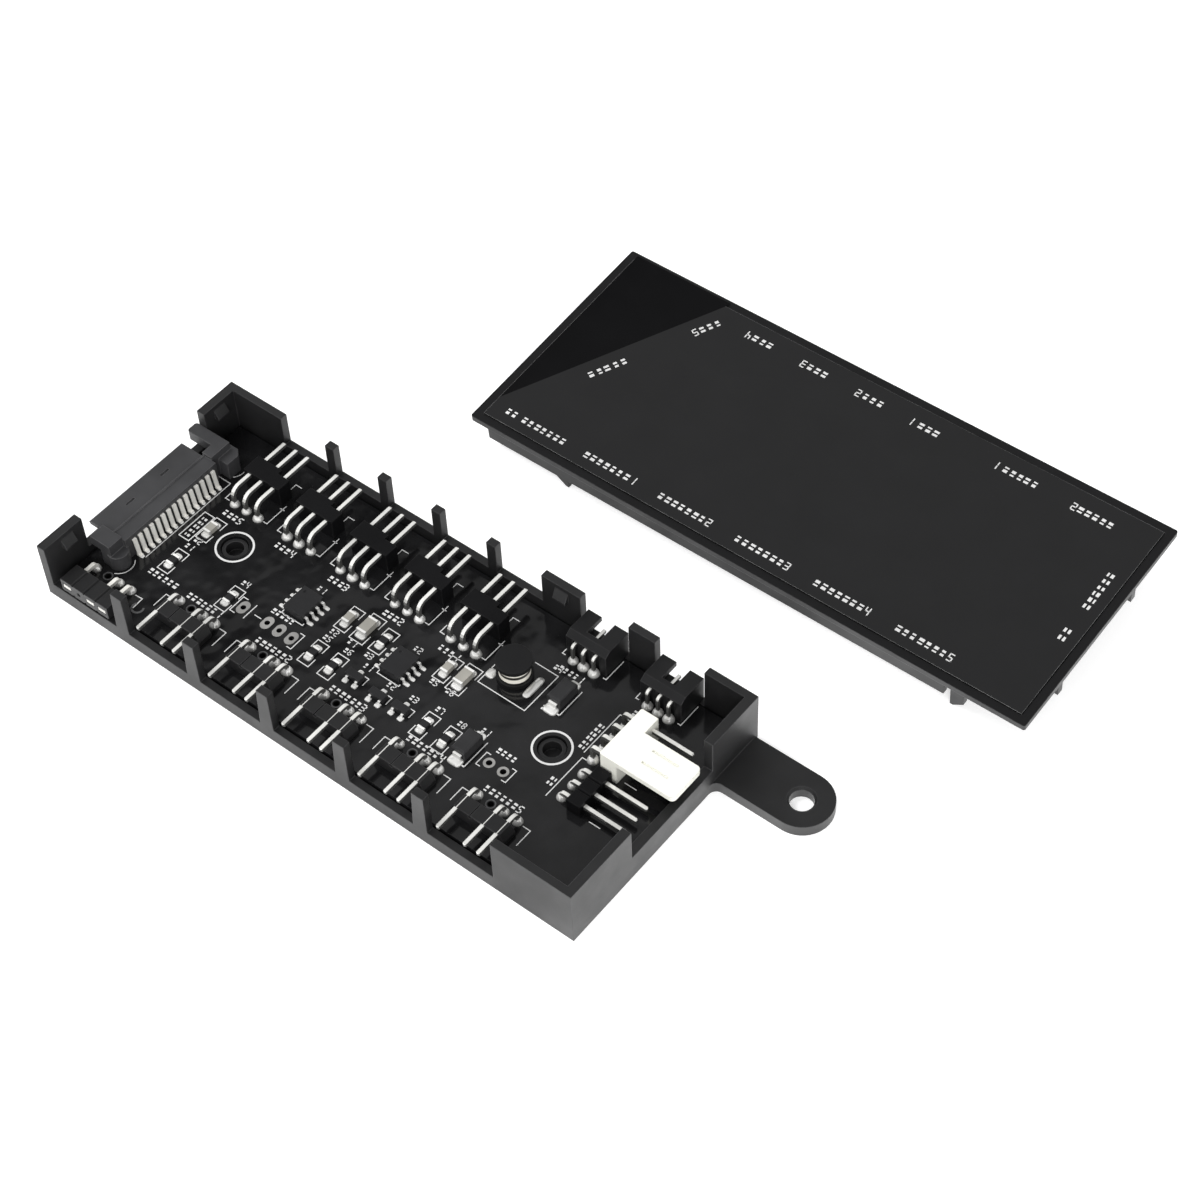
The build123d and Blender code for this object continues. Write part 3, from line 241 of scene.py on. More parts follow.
def moulded(name, colour, edge, gloss, mottle=0.2, grain=3500.0, depth=0.25, height=0.00003, width=0.0002,
            painted_edge_amount=0.5, specular=0.5):
    """A moulded or coated finish: its grain and mottle over a colour, with its edges painted in the edge
    colour, a painted highlight where that is lighter.
    """
    finish = bpy.data.materials.new(name)
    finish.use_nodes = True
    tree = finish.node_tree
    rim = add(tree, "Group", {"Colour": (*colour, 1), "Edge Colour": (*edge, 1), "Edge Width": width,
                              "Amount": painted_edge_amount}, node_tree=painted_edge_shading)
    skin = add(tree, "Group", {"Colour": rim.outputs["Colour"], "Normal": rim.outputs["Normal"],
                               "Mottle": mottle, "Grain Scale": grain, "Grain Depth": depth,
                               "Grain Height": height, "Gloss Low": gloss[0], "Gloss High": gloss[1]},
               node_tree=surface_grain)
    shader = tree.nodes["Principled BSDF"]
    tree.links.new(skin.outputs["Colour"], shader.inputs["Base Color"])
    tree.links.new(skin.outputs["Roughness"], shader.inputs["Roughness"])
    tree.links.new(skin.outputs["Normal"], shader.inputs["Normal"])
    shader.inputs["Specular IOR Level"].default_value = specular
    return finish


def dress(names, finish):
    """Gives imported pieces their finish."""
    for name in names:
        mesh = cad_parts[name].data
        mesh.materials.clear()
        mesh.materials.append(finish)


tray_black = moulded("tray_black", (0.013, 0.013, 0.0135), (0.12, 0.12, 0.123), (0.42, 0.56))
dress(["tray"], tray_black)

# The circuit board: a laminate under a glossy black mask, which flows a little
# unevenly over the copper. It is let down over the tray's two pegs, and they
# hold it.
board_mask = moulded("board_mask", (0.0085, 0.0085, 0.009), (0.05, 0.05, 0.05), (0.09, 0.14), mottle=0.45,
                     grain=130.0, depth=1.0, height=0.0003, width=0.0001, painted_edge_amount=0.3)
dress(["circuit_board"], board_mask)

# The outlines on the board: white ink, screened on the mask in one thin coat.
# They stand round the peg holes, headers, chips and small parts, and show where
# each part goes.
MM = 0.001
ink_thick = 0.03
ink_line = 0.16
mitre_limit = 0.35
tray_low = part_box("tray")[0]
board_low, board_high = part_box("circuit_board")


def on_board(x, y, rise=0.0):
    """A place on the board, in millimetres from the tray's front left corner and the board's top."""
    return Vector((tray_low.x + x * MM, tray_low.y + y * MM, board_high.z + rise * MM))


def solid(name, finish, build):
    """Makes one piece from a function that fills its mesh, and fixes it to the hub."""
    shape = bmesh.new()
    build(shape)
    bmesh.ops.recalc_face_normals(shape, faces=shape.faces)
    mesh = bpy.data.meshes.new(name)
    shape.to_mesh(mesh)
    shape.free()
    mesh.materials.append(finish)
    piece = bpy.data.objects.new(name, mesh)
    bpy.context.scene.collection.objects.link(piece)
    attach(piece, "root")
    return piece


def stripe(shape, place, points, width, closed=False, thick=ink_thick):
    """A thin raised line through the points, with mitred corners."""
    points = [Vector(point) for point in points]
    count = len(points)
    rings = []
    for index, point in enumerate(points):
        before = points[index - 1] if index or closed else None
        after = points[(index + 1) % count] if index + 1 < count or closed else None
        ways = []
        if before is not None:
            ways.append((point - before).normalized())
        if after is not None:
            ways.append((after - point).normalized())
        way = sum(ways, Vector((0, 0))).normalized()
        side = Vector((-way.y, way.x))
        reach = width / 2 / max(mitre_limit, side.dot(Vector((-ways[0].y, ways[0].x))))
        corners = (point + side * reach, point - side * reach)
        rings.append([shape.verts.new(place(c.x, c.y, rise)) for c in corners for rise in (0.0, thick)])
    spans = count if closed else count - 1
    for index in range(spans):
        near, far = rings[index], rings[(index + 1) % count]
        shape.faces.new((near[1], near[3], far[3], far[1]))
        shape.faces.new((near[0], far[0], far[2], near[2]))
        shape.faces.new((near[0], near[1], far[1], far[0]))
        shape.faces.new((near[2], far[2], far[3], near[3]))
    if not closed:
        for end in (rings[0], rings[-1]):
            shape.faces.new((end[0], end[1], end[3], end[2]))


def ring_points(x, y, radius, start=0, stop=360, count=40):
    """Points along an arc, in degrees."""
    full = stop - start == 360
    steps = count if full else count + 1
    angles = [math.radians(start + (stop - start) * n / count) for n in range(steps)]
    return [(x + radius * math.cos(a), y + radius * math.sin(a)) for a in angles]


def moved(points, x, y=0.0):
    """The points of a line, moved to the place of a part."""
    return [(x + right, y + back) for right, back in points]


def millimetres(name):
    """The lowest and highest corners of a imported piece, in millimetres from the tray's front left corner."""
    low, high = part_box(name)
    return (low - tray_low) / MM, (high - tray_low) / MM


white_ink = moulded("white_ink", (0.64, 0.64, 0.635), (0.7, 0.7, 0.7), (0.45, 0.6), mottle=0.12,
                    grain=1500.0, depth=0.1, width=0.00002, painted_edge_amount=0.0)
peg_holes = ((19.4, 22.7), (84.3, 22.7))
peg_ring_radius = 3.05
peg_ring_line = 0.34
header_lines = {
    "light": ([[(-1.4, 6.3), (-1.4, 9.15), (-0.2, 9.15)]],
              [[(-0.1, 9.2), (1.3, 9.2), (1.3, 6.0)]]),
    "fan": ([[(-0.95, 31.0), (-0.95, 29.35), (-0.05, 29.35)]],
            [[(-0.25, 29.35), (0.55, 29.35), (0.55, 34.0)], [(0.05, 33.05), (0.95, 33.05)],
             [(-1.35, 36.8), (-1.35, 38.3), (-0.05, 38.3)]]),
}
strip_header_edges = (82.8, 97.0)
strip_header_lines = [
    [(-0.6, 37.5), (0.0, 37.5), (0.0, 41.9)],
    [(-8.5, 39.0), (-8.5, 37.5), (-7.9, 37.5)],
]
chip_places = ((36.6, 20.3), (56.3, 20.4))
chip_lines = [[(-2.2, -1.9), (-2.2, -2.9), (2.2, -2.9), (2.2, -2.5)], [(-2.2, 2.9), (-0.4, 2.9)]]
transistor_places = ((52.2, 14.7), (57.4, 14.1), (61.8, 14.3))
transistor_lines = [[(0.7, 1.1), (1.8, 1.1), (1.8, -0.4)], [(-0.7, 1.1), (-1.8, 1.1)]]
diode_places = ((79.7, 30.9), (74.4, 15.0))
diode_line = [(1.7, -2.9), (1.7, 2.6)]
diode_mark = [(0.9, -2.9), (1.7, -2.9)]
diode_mark_line = ink_line * 1.6
small_box = (1.15, 2.45)
small_box_places = (
    (13.6, 14.7), (26.1, 14.5), (51.0, 22.65), (43.8, 14.4), (48.0, 14.3), (66.5, 14.3), (70.8, 14.2),
    (14.0, 23.0), (43.85, 22.7), (62.4, 24.5))
large_box = (1.35, 2.9)
large_box_places = ((47.4, 23.0), (65.6, 24.5))
box_opening = 0.3
inlet_lines = [
    [(9.55, 12.6), (9.55, 32.1), (5.9, 32.1)],
    ring_points(7.0, 9.45, 2.4, start=-67, stop=47, count=18),
    ring_points(7.3, 35.04, 2.35, start=-45, stop=30, count=12),
]
inductor_line = [(67.5, 29.7), (67.5, 25.5), (76.65, 25.5), (76.65, 33.6), (72.1, 33.6)]
spare_header_lines = [
    [(28.6, 12.9), (27.6, 12.9), (27.6, 16.1), (28.6, 16.1)],
    [(30.45, 12.9), (30.45, 16.1)],
    [(31.4, 14.5), (32.8, 14.5)],
    [(39.6, 12.9), (40.5, 12.9), (40.5, 16.1), (39.6, 16.1)],
]
test_pad_lines = [
    [(77.9, 13.6), (77.1, 13.6), (77.1, 16.2), (77.9, 16.2)],
    [(82.0, 13.6), (82.8, 13.6), (82.8, 16.2), (82.0, 16.2)],
]
right_header_lines = [
    [(96.9, 15.65), (99.0, 15.65)],
    [(96.8, 24.2), (99.0, 24.2)],
    [(89.0, 15.4), (89.0, 24.0), (91.4, 24.0)],
    [(88.6, 24.9), (88.6, 33.6), (91.8, 33.6)],
]
socket_line = [(13.7, 6.1), (15.15, 6.2), (15.25, 3.55)]


def print_outlines(shape):
    """Outlines round the holes, headers and small parts."""
    for x, y in peg_holes:
        stripe(shape, on_board, ring_points(x, y, peg_ring_radius), peg_ring_line, closed=True)
    lines = []
    for number in range(1, 6):
        for kind, (left_lines, right_lines) in header_lines.items():
            low, high = millimetres("%s_header_body_%d" % (kind, number))
            lines += [moved(line, low.x) for line in left_lines]
            lines += [moved(line, high.x) for line in right_lines]
    lines += inlet_lines
    boxes = [(place, small_box) for place in small_box_places]
    boxes += [(place, large_box) for place in large_box_places]
    for (x, y), (half_x, half_y) in boxes:
        for way in (-1, 1):
            tip = way * half_y
            inner = tip * box_opening
            lines.append(moved([(-half_x, inner), (-half_x, tip), (half_x, tip), (half_x, inner)], x, y))
    lines.append(inductor_line)
    for places, part_lines in ((chip_places, chip_lines), (transistor_places, transistor_lines),
                               (diode_places, [diode_line])):
        lines += [moved(line, x, y) for x, y in places for line in part_lines]
    lines += spare_header_lines
    lines += test_pad_lines
    lines += [moved(line, edge) for edge in strip_header_edges for line in strip_header_lines]
    lines += right_header_lines
    lines.append(socket_line)
    for line in lines:
        stripe(shape, on_board, line, ink_line)
    for x, y in diode_places:
        stripe(shape, on_board, moved(diode_mark, x, y), diode_mark_line)


solid("board_outlines", white_ink, print_outlines)

# The marks on the board, screened with the outlines: a row of plain split bars
# beside each header and part, and the number of each one in straight strokes.
mark_width = (0.46, 0.66)
mark_splits = (0.36, 0.5, 0.62)
mark_gap = 0.4
mark_fill = 0.72
digit_width = 0.5
digit_strokes = {
    "a": ((0, 1), (1, 1)), "b": ((1, 1), (1, 0.5)), "c": ((1, 0.5), (1, 0)), "d": ((0, 0), (1, 0)),
    "e": ((0, 0.5), (0, 0)), "f": ((0, 1), (0, 0.5)), "g": ((0, 0.5), (1, 0.5)),
}
digits = ["abcdef", "bc", "abged", "abgcd", "fgbc", "afgcd", "afgecd", "abc", "abcdefg", "abcfgd"]


def numeral(shape, place, corner, high, value, ink, turned):
    """A plain digit of straight strokes, from its lower left corner."""
    spin = Matrix.Rotation(turned, 2)
    for letter in digits[value]:
        line = [corner + spin @ Vector((u * high * digit_width, v * high)) for u, v in digit_strokes[letter]]
        reach = (line[1] - line[0]).normalized() * ink / 2
        stripe(shape, place, [line[0] - reach, line[1] + reach], ink)


def tally(shape, place, corner, count, marks, dice, value=None, turned=0.0):
    """A row of marks, each two short bars one above the other, with a digit after it if one is given."""
    corner = Vector(corner)
    high, pitch, ink = marks
    spin = Matrix.Rotation(turned, 2)
    for index in range(count):
        wide = pitch * dice.uniform(*mark_width)
        split = high * dice.choice(mark_splits)
        for low, top in ((0.0, split - ink * mark_gap), (split + ink * mark_gap, high)):
            start = corner + spin @ Vector((pitch * index, (low + top) / 2))
            stop = start + spin @ Vector((wide, 0))
            stripe(shape, place, [start, stop], (top - low) * mark_fill)
    if value is not None:
        numeral(shape, place, corner + spin @ Vector((pitch * count, 0)), high, value, ink, turned)


# Height, pitch and stroke of the marks, in millimetres.
header_marks = (1.2, 1.05, 0.2)
word_marks = (1.1, 0.95, 0.18)
boxed_marks = (1.1, 1.0, 0.18)
part_marks = (1.0, 0.85, 0.16)
marks_from_fan_header = 0.9
fan_marks_y = 26.5
light_marks_y = 10.6
light_marks = ((20.3, 1), (35.0, 2), (50.4, 3), (65.9, 4), (81.0, 5))
socket_marks_x = 11.9
strip_marks_y = 34.6
strip_marks = ((75.7, 1), (89.9, 2))
part_numbers = (
    (12.9, 17.9, 1), (25.4, 17.7, 4), (42.9, 17.4, 5), (47.2, 17.4, 6), (65.8, 17.4, 7),
    (70.2, 17.3, 8), (50.3, 18.7, 3), (43.0, 18.9, 2), (46.6, 19.0, 1), (61.6, 20.9, 5),
    (64.8, 20.9, 6), (13.2, 19.6, 2), (51.7, 17.0, 1), (56.9, 16.4, 2), (61.3, 16.6, 3),
    (78.3, 27.2, 2), (73.9, 18.5, 1), (75.0, 34.3, 1), (35.7, 24.0, 1), (55.6, 24.1, 2))
level_words = (((33.0, 16.4), 5), ((78.1, 17.0), 4))
upright_words = (((88.2, 25.2), 6), ((88.6, 17.2), 2))
boxed_word = (12.1, 19.8)
word_box = [(10.5, 19.2), (12.6, 19.2), (12.6, 25.2), (10.5, 25.2)]
word_box_line = 0.18
quarter_turn = math.pi / 2


def print_marks(shape):
    """Rows of marks beside the headers and parts."""
    dice = random.Random(11)
    for number in range(1, 6):
        low = millimetres("fan_header_body_%d" % number)[0]
        start = (low.x + marks_from_fan_header, fan_marks_y)
        tally(shape, on_board, start, 3, header_marks, dice, value=6 - number)
    for x, value in light_marks:
        tally(shape, on_board, (x, light_marks_y), 6, header_marks, dice, value=value)
    tally(shape, on_board, (socket_marks_x, light_marks_y), 6, header_marks, dice)
    for x, value in strip_marks:
        tally(shape, on_board, (x, strip_marks_y), 4, word_marks, dice, value=value)
    for x, y, value in part_numbers:
        tally(shape, on_board, (x, y), 1, part_marks, dice, value=value)
    for corner, count in level_words:
        tally(shape, on_board, corner, count, word_marks, dice)
    for corner, count in upright_words:
        tally(shape, on_board, corner, count, word_marks, dice, turned=quarter_turn)
    tally(shape, on_board, boxed_word, 5, boxed_marks, dice, turned=quarter_turn)
    stripe(shape, on_board, word_box, word_box_line, closed=True)


solid("board_marks", white_ink, print_marks)

# The joints of the pins that go through the board: tin solder, drawn up each pin
# from its plated hole and set as a bright cone above the board, with a lower one
# on its underside. Its colour is painted darker down its sides: painted shade.
turned_sides = 18
joint_above = ((0.95, 0.0), (0.95, 0.05), (0.88, 0.24), (0.76, 0.48), (0.6, 0.7), (0.44, 0.86), (0.2, 0.9))
joint_below = ((0.85, 0.0), (0.85, 0.03), (0.66, 0.16), (0.5, 0.34), (0.42, 0.5), (0.1, 0.5))
joint_size = (0.92, 1.08)
pin_end_depth = 0.05
pin_end_reach = 1.2


def middle(values):
    """Halfway between the lowest and the highest value."""
    values = list(values)
    return (min(values) + max(values)) / 2


def feet(name):
    """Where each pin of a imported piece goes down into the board, from the lowest corners of its mesh."""
    corners = [v.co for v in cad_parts[name].data.vertices]
    lowest = min(c.z for c in corners)
    groups = []
    for corner in (c for c in corners if c.z < lowest + pin_end_depth * MM):
        for group in groups:
            if (group[0] - corner).length < pin_end_reach * MM:
                group.append(corner)
                break
        else:
            groups.append([corner])
    return [Vector((middle(c.x for c in group), middle(c.y for c in group))) for group in groups]


def join_rings(shape, rings):
    """Joins rings of points, each to the next, and closes the first and the last."""
    sides = len(rings[0])
    for near, far in zip(rings, rings[1:]):
        for n in range(sides):
            shape.faces.new((near[n], near[(n + 1) % sides], far[(n + 1) % sides], far[n]))
    shape.faces.new(rings[0])
    shape.faces.new(rings[-1])


def lathe(shape, centre, base, profile, way=1):
    """A turned form: pairs of radius and height, in millimetres, from its foot to its crown."""
    rings = []
    for radius, high in profile:
        ring = []
        for n in range(turned_sides):
            angle = 2 * math.pi * n / turned_sides
            ring.append(shape.verts.new((
                centre[0] + radius * MM * math.cos(angle),
                centre[1] + radius * MM * math.sin(angle),
                base + way * high * MM)))
        rings.append(ring)
    join_rings(shape, rings)


def smooth(piece):
    """Rounds the shading of a turned piece."""
    for face in piece.data.polygons:
        face.use_smooth = True


# Painted shade: a colour scaled down on faces that turn from level towards upright, to the given fraction on
# the sides.
painted_side_shade, given, result = shader_group(
    "painted_side_shade", [("Colour", colour_kind, (0.8, 0.8, 0.8, 1)), ("Painted Side Shade", number_kind, 0.5)],
    [("Colour", colour_kind)])
where = add(painted_side_shade, "TexCoord")
axes = add(painted_side_shade, "SeparateXYZ", {0: where.outputs["Normal"]})
tone = add(painted_side_shade, "MapRange", {"Value": axes.outputs["Z"], "From Min": 0.1, "From Max": 0.6,
                                   "To Min": given["Painted Side Shade"], "To Max": 1.0})
shade = add(painted_side_shade, "VectorMath", {0: given["Colour"], "Scale": tone.outputs[0]}, operation="SCALE")
painted_side_shade.links.new(shade.outputs[0], result["Colour"])


def plated(name, colour, gloss, metal, side, mottle=0.15, edge=1.05, width=0.00008):
    """Tin plate or solder, with painted shade: its colour is darker down its sides, to the side fraction, and
    its edges are painted in the colour times the edge factor, a painted highlight above 1 and painted shade
    below.
    """
    finish = moulded(name, colour, [min(1.0, c * edge) for c in colour], gloss, mottle=mottle,
                     grain=2200.0, depth=0.3, width=width, painted_edge_amount=0.9)
    tree = finish.node_tree
    shader = tree.nodes["Principled BSDF"]
    clean = shader.inputs["Base Color"].links[0].from_socket
    film = add(tree, "Group", {"Colour": clean, "Painted Side Shade": side}, node_tree=painted_side_shade)
    tree.links.new(film.outputs["Colour"], shader.inputs["Base Color"])
    shader.inputs["Metallic"].default_value = metal
    return finish


# The solder is painted darker down its sides (painted shade) and a little lighter on its edges (painted
# highlight).
solder_tin = plated("solder_tin", (0.95, 0.945, 0.92), (0.08, 0.2), mottle=0.25, metal=0.6, side=0.2)
light_pins = ["light_header_pins_%d" % n for n in range(1, 6)]
fan_pins = ["fan_header_pins_%d" % n for n in range(1, 6)]
strip_pins = ["strip_header_pins_1", "strip_header_pins_2"]
other_pins = ["fan_input_pins", "switch_header_pins", "board_light_socket_contacts"]


def fill_joints(shape):
    """A fillet of solder round each pin, above and below the board."""
    dice = random.Random(5)
    for name in light_pins + fan_pins + strip_pins + other_pins:
        for foot in feet(name):
            size = dice.uniform(*joint_size)
            lathe(shape, foot, board_high.z, [(r * size, h * size) for r, h in joint_above])
            lathe(shape, foot, board_low.z, joint_below, way=-1)


smooth(solid("solder_joints", solder_tin, fill_joints))

# The joints on the board's face: tin solder from printed paste, melted into a
# low cushion under each end and lead of the small parts, under the inlet's
# contacts and on the inductor's two pads.
weld_distance = 0.005
mound_sides = 20
mound_squareness = 0.55
mound_profile = ((1.0, 0.0), (1.0, 0.05), (0.9, 0.55), (0.66, 0.88), (0.3, 1.0))
inductor_mounds = (((68.2, 27.9), (0.85, 0.95), 0.5), ((75.0, 29.7), (0.72, 2.3), 0.4))
# Half length, half width and height of the others, and how far they stand in
# from a lead's tip. A part's back side is 1 and its front side is -1.
chip_mound = (0.62, 0.36, 0.26)
chip_inset = 0.1
transistor_mound = (0.52, 0.52, 0.3)
transistor_inset = 0.05
diode_mound = (1.0, 0.75, 0.45)
diode_inset = {1: 0.1, -1: 0.0375}
diode_fullness = {1: 1.0, -1: 1.25}
contact_mound = (0.72, 0.38, 0.24)
contact_inset = 0.35
# Margin past a chip part's end on both sides, half width and height.
end_mound = (0.08, 0.62, 0.42)
end_overhang = 0.05
end_fullness = {1: 1.0, -1: 1.15}
small_swing = (0.9, 1.15)
large_swing = (0.9, 1.1)


def islands(name):
    """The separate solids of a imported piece, each as its lowest and highest corner."""
    shape = bmesh.new()
    shape.from_mesh(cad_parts[name].data)
    bmesh.ops.remove_doubles(shape, verts=shape.verts, dist=weld_distance * MM)
    left = set(shape.verts)
    found = []
    while left:
        group = [left.pop()]
        for vert in group:
            for edge in vert.link_edges:
                other = edge.other_vert(vert)
                if other in left:
                    left.discard(other)
                    group.append(other)
        corners = [v.co for v in group]
        found.append((Vector([min(c[k] for c in corners) for k in range(3)]),
                      Vector([max(c[k] for c in corners) for k in range(3)])))
    shape.free()
    return sorted(found, key=lambda pair: tuple(pair[0]))


def outward(bodies, low, high):
    """Which way a lead points from its body, 1 to the back or -1 to the front, and its tip's place."""
    centre = (low + high) / 2
    near = min(islands(bodies), key=lambda pair: ((pair[0] + pair[1]) / 2 - centre).length)
    if centre.y > (near[0].y + near[1].y) / 2:
        return 1, high.y
    return -1, low.y


def mound(shape, x, y, half_x, half_y, high):
    """A low cushion of solder: its middle in metres, its half sizes and height in millimetres."""
    rings = []
    for scale, rise in mound_profile:
        ring = []
        for n in range(mound_sides):
            angle = 2 * math.pi * n / mound_sides
            c, s = math.cos(angle), math.sin(angle)
            ring.append(shape.verts.new((
                x + half_x * scale * MM * math.copysign(abs(c) ** mound_squareness, c),
                y + half_y * scale * MM * math.copysign(abs(s) ** mound_squareness, s),
                board_high.z + rise * high * MM)))
        rings.append(ring)
    join_rings(shape, rings)


def fill_pads(shape):
    """Mounds of solder under the ends, leads and contacts, fuller on the front side of a part."""
    dice = random.Random(9)
    for name in ("control_chip_leads_1", "control_chip_leads_2"):
        whole_low, whole_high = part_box(name)
        half_x, half_y, rise = chip_mound
        for low, high in islands(name):
            out = 1 if (low.x + high.x) > (whole_low.x + whole_high.x) else -1
            tip = high.x if out > 0 else low.x
            mound(shape, tip - chip_inset * out * MM, (low.y + high.y) / 2, half_x, half_y,
                  rise * dice.uniform(*small_swing))
    half_x, half_y, rise = transistor_mound
    for low, high in islands("transistor_leads"):
        out, tip = outward("transistor_bodies", low, high)
        mound(shape, (low.x + high.x) / 2, tip - transistor_inset * out * MM, half_x, half_y,
              rise * dice.uniform(*small_swing))
    half_x, half_y, rise = diode_mound
    for low, high in islands("diode_leads"):
        out, tip = outward("diode_bodies", low, high)
        full = diode_fullness[out]
        mound(shape, (low.x + high.x) / 2, tip - diode_inset[out] * out * MM, half_x * full, half_y * full,
              rise * full * dice.uniform(*large_swing))
    margin, half_y, rise = end_mound
    for kind in ("resistor", "capacitor"):
        for low, high in islands(kind + "_ends"):
            out, tip = outward(kind + "_bodies", low, high)
            full = end_fullness[out]
            half_x = (high.x - low.x) / MM / 2 + margin
            mound(shape, (low.x + high.x) / 2, tip + end_overhang * out * MM, half_x, half_y * full,
                  rise * full * dice.uniform(*large_swing))
    half_x, half_y, rise = contact_mound
    for low, high in islands("power_inlet_contacts"):
        mound(shape, high.x - contact_inset * MM, (low.y + high.y) / 2, half_x, half_y,
              rise * dice.uniform(*large_swing))
    for place, (half_x, half_y), rise in inductor_mounds:
        centre = on_board(*place)
        mound(shape, centre.x, centre.y, half_x, half_y, rise)


smooth(solid("solder_pads", solder_tin, fill_pads))

# The open pads: copper lands left clear of the mask and tinned dull, four long
# ones of a header that isn't fitted, with a small hole in each, and two round
# ones to test the board by.
pin_pitch = 2.54
pad_sides = 32
pad_thick = 0.04
spare_first_hole = (29.0, 14.5)
spare_places = (0, 2, 3, 4)
spare_hole_radius = 0.45
spare_pad_radius = 0.88
spare_pad_stretch = 0.42
test_pads = ((78.6, 14.9), (81.3, 14.9))
test_pad_radius = 0.72
test_pad_width = 0.44


def fill_rings(shape):
    """Four long pads with a hole each, and two round ones."""
    hole_y = spare_first_hole[1]
    for hole_x in (spare_first_hole[0] + pin_pitch * n for n in spare_places):
        inner, outer = [], []
        for n in range(pad_sides):
            angle = 2 * math.pi * n / pad_sides
            c, s = math.cos(angle), math.sin(angle)
            inner.append((hole_x + spare_hole_radius * c, hole_y + spare_hole_radius * s))
            outer.append((hole_x + spare_pad_radius * c,
                          hole_y + spare_pad_radius * s + math.copysign(spare_pad_stretch, s)))
        rings = [[shape.verts.new(on_board(x, y, rise)) for x, y in points]
                 for points, rise in ((inner, 0.0), (inner, pad_thick), (outer, pad_thick), (outer, 0.0))]
        for near, far in zip(rings, rings[1:] + rings[:1]):
            for n in range(pad_sides):
                following = (n + 1) % pad_sides
                shape.faces.new((near[n], near[following], far[following], far[n]))
    for x, y in test_pads:
        ring = ring_points(x, y, test_pad_radius, count=24)
        stripe(shape, on_board, ring, test_pad_width, closed=True, thick=pad_thick)


# The pads' sides are painted darker and their edges lighter: painted shade and painted highlight.
bare_pad = plated("bare_pad", (0.34, 0.335, 0.325), (0.2, 0.3), mottle=0.3, metal=0.3, side=0.6)
solid("pad_rings", bare_pad, fill_rings)

# The covered rings: copper lands that show as grey rings through the black mask
# over them, one round each front header's empty second hole, and a wider open
# one beside the first of the tray's front posts.
half_pin = 0.32
half_contact = 0.75
masked_ring_radius = 0.74
masked_ring_line = 0.22
post_ring = ring_points(15.85, 4.45, 0.95, start=-215, stop=35, count=18)
post_ring_line = 0.36


def fill_masked_rings(shape):
    """Rings round the empty holes, and the open ring by the post."""
    places = []
    for name in light_pins:
        low, high = millimetres(name)
        places.append((low.x + half_pin + pin_pitch, high.y - half_pin))
    low, high = millimetres("board_light_socket_contacts")
    places.append((low.x + half_contact + pin_pitch, high.y - half_pin))
    for x, y in places:
        ring = ring_points(x, y, masked_ring_radius, count=24)
        stripe(shape, on_board, ring, masked_ring_line, closed=True)
    stripe(shape, on_board, post_ring, post_ring_line)


mask_grey = moulded("mask_grey", (0.075, 0.075, 0.077), (0.12, 0.12, 0.12), (0.25, 0.35), mottle=0.25,
                    width=0.00002, painted_edge_amount=0.0)
solid("masked_rings", mask_grey, fill_masked_rings)

# The light headers along the front: low black bars moulded round three square
# tin-plated pins each, which lie level towards their bay and are bent down
# through the board behind. A skin of plastic, split at each place, covers the pins.
skin_thick = 0.1
skin_chamfer = 0.03
skin_inset = 0.75
half_split = 0.07
# The pins' sides and edges are painted much darker than their tops: painted shade.
pin_tin = plated("pin_tin", (0.93, 0.925, 0.89), (0.2, 0.34), metal=0.4, side=0.12, edge=0.15,
                 width=0.00015)
light_bar_black = moulded("light_bar_black", (0.013, 0.013, 0.0135), (0.12, 0.12, 0.12), (0.36, 0.5),
                          specular=0.42)
light_bodies = ["light_header_body_%d" % n for n in range(1, 6)]
dress(light_bodies, light_bar_black)
dress(light_pins, pin_tin)


def slab(shape, low, high, chamfer):
    """A flat plate with its upper edges taken off, from its two corners in metres."""
    rings = []
    for inset, z in ((0.0, low[2]), (0.0, high[2] - chamfer), (chamfer, high[2])):
        rings.append([shape.verts.new((x, y, z)) for x, y in (
            (low[0] + inset, low[1] + inset), (high[0] - inset, low[1] + inset),
            (high[0] - inset, high[1] - inset), (low[0] + inset, high[1] - inset))])
    join_rings(shape, rings)


def fill_header_tops(shape):
    """The skin over each light header's pins, split by a fine line at each of its four places."""
    for body, pins in zip(light_bodies, light_pins):
        low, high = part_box(body)
        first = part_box(pins)[0].x + half_pin * MM
        splits = [first + pin_pitch * n * MM for n in range(4)]
        starts = [low.x + skin_inset * MM] + [split + half_split * MM for split in splits]
        stops = [split - half_split * MM for split in splits] + [high.x - skin_inset * MM]
        top = high.z + skin_thick * MM
        for start, stop in zip(starts, stops):
            slab(shape, (start, low.y, high.z), (stop, high.y, top), skin_chamfer * MM)


solid("light_header_tops", light_bar_black, fill_header_tops)

# The fan headers along the back, and the switch header at the right end: nearly
# black bars that hold three bent square pins each, pushed through in the same
# way.
fan_bar_black = moulded("fan_bar_black", (0.0045, 0.0045, 0.005), (0.05, 0.05, 0.05), (0.4, 0.55),
                        specular=0.16, painted_edge_amount=0.3)
dress(["fan_header_body_%d" % n for n in range(1, 6)] + ["switch_header_body"], fan_bar_black)
dress(fan_pins + ["switch_header_pins"], pin_tin)

# The two light strip headers: shrouded black blocks with a slot that faces the
# back wall, moulded in one piece with their three small pins pressed in.
strip_black = moulded("strip_black", (0.010, 0.010, 0.0105), (0.12, 0.12, 0.12), (0.36, 0.5), specular=0.3)
dress(["strip_header_body_1", "strip_header_body_2"], strip_black)
dress(strip_pins, pin_tin)

# The power inlet at the left end: a dark grey block and tongue, moulded over
# fifteen contacts and set on the board with a peg and a square foot.
inlet_grey = moulded("inlet_grey", (0.038, 0.038, 0.040), (0.2, 0.2, 0.2), (0.4, 0.55))
dress(["power_inlet_housing"], inlet_grey)
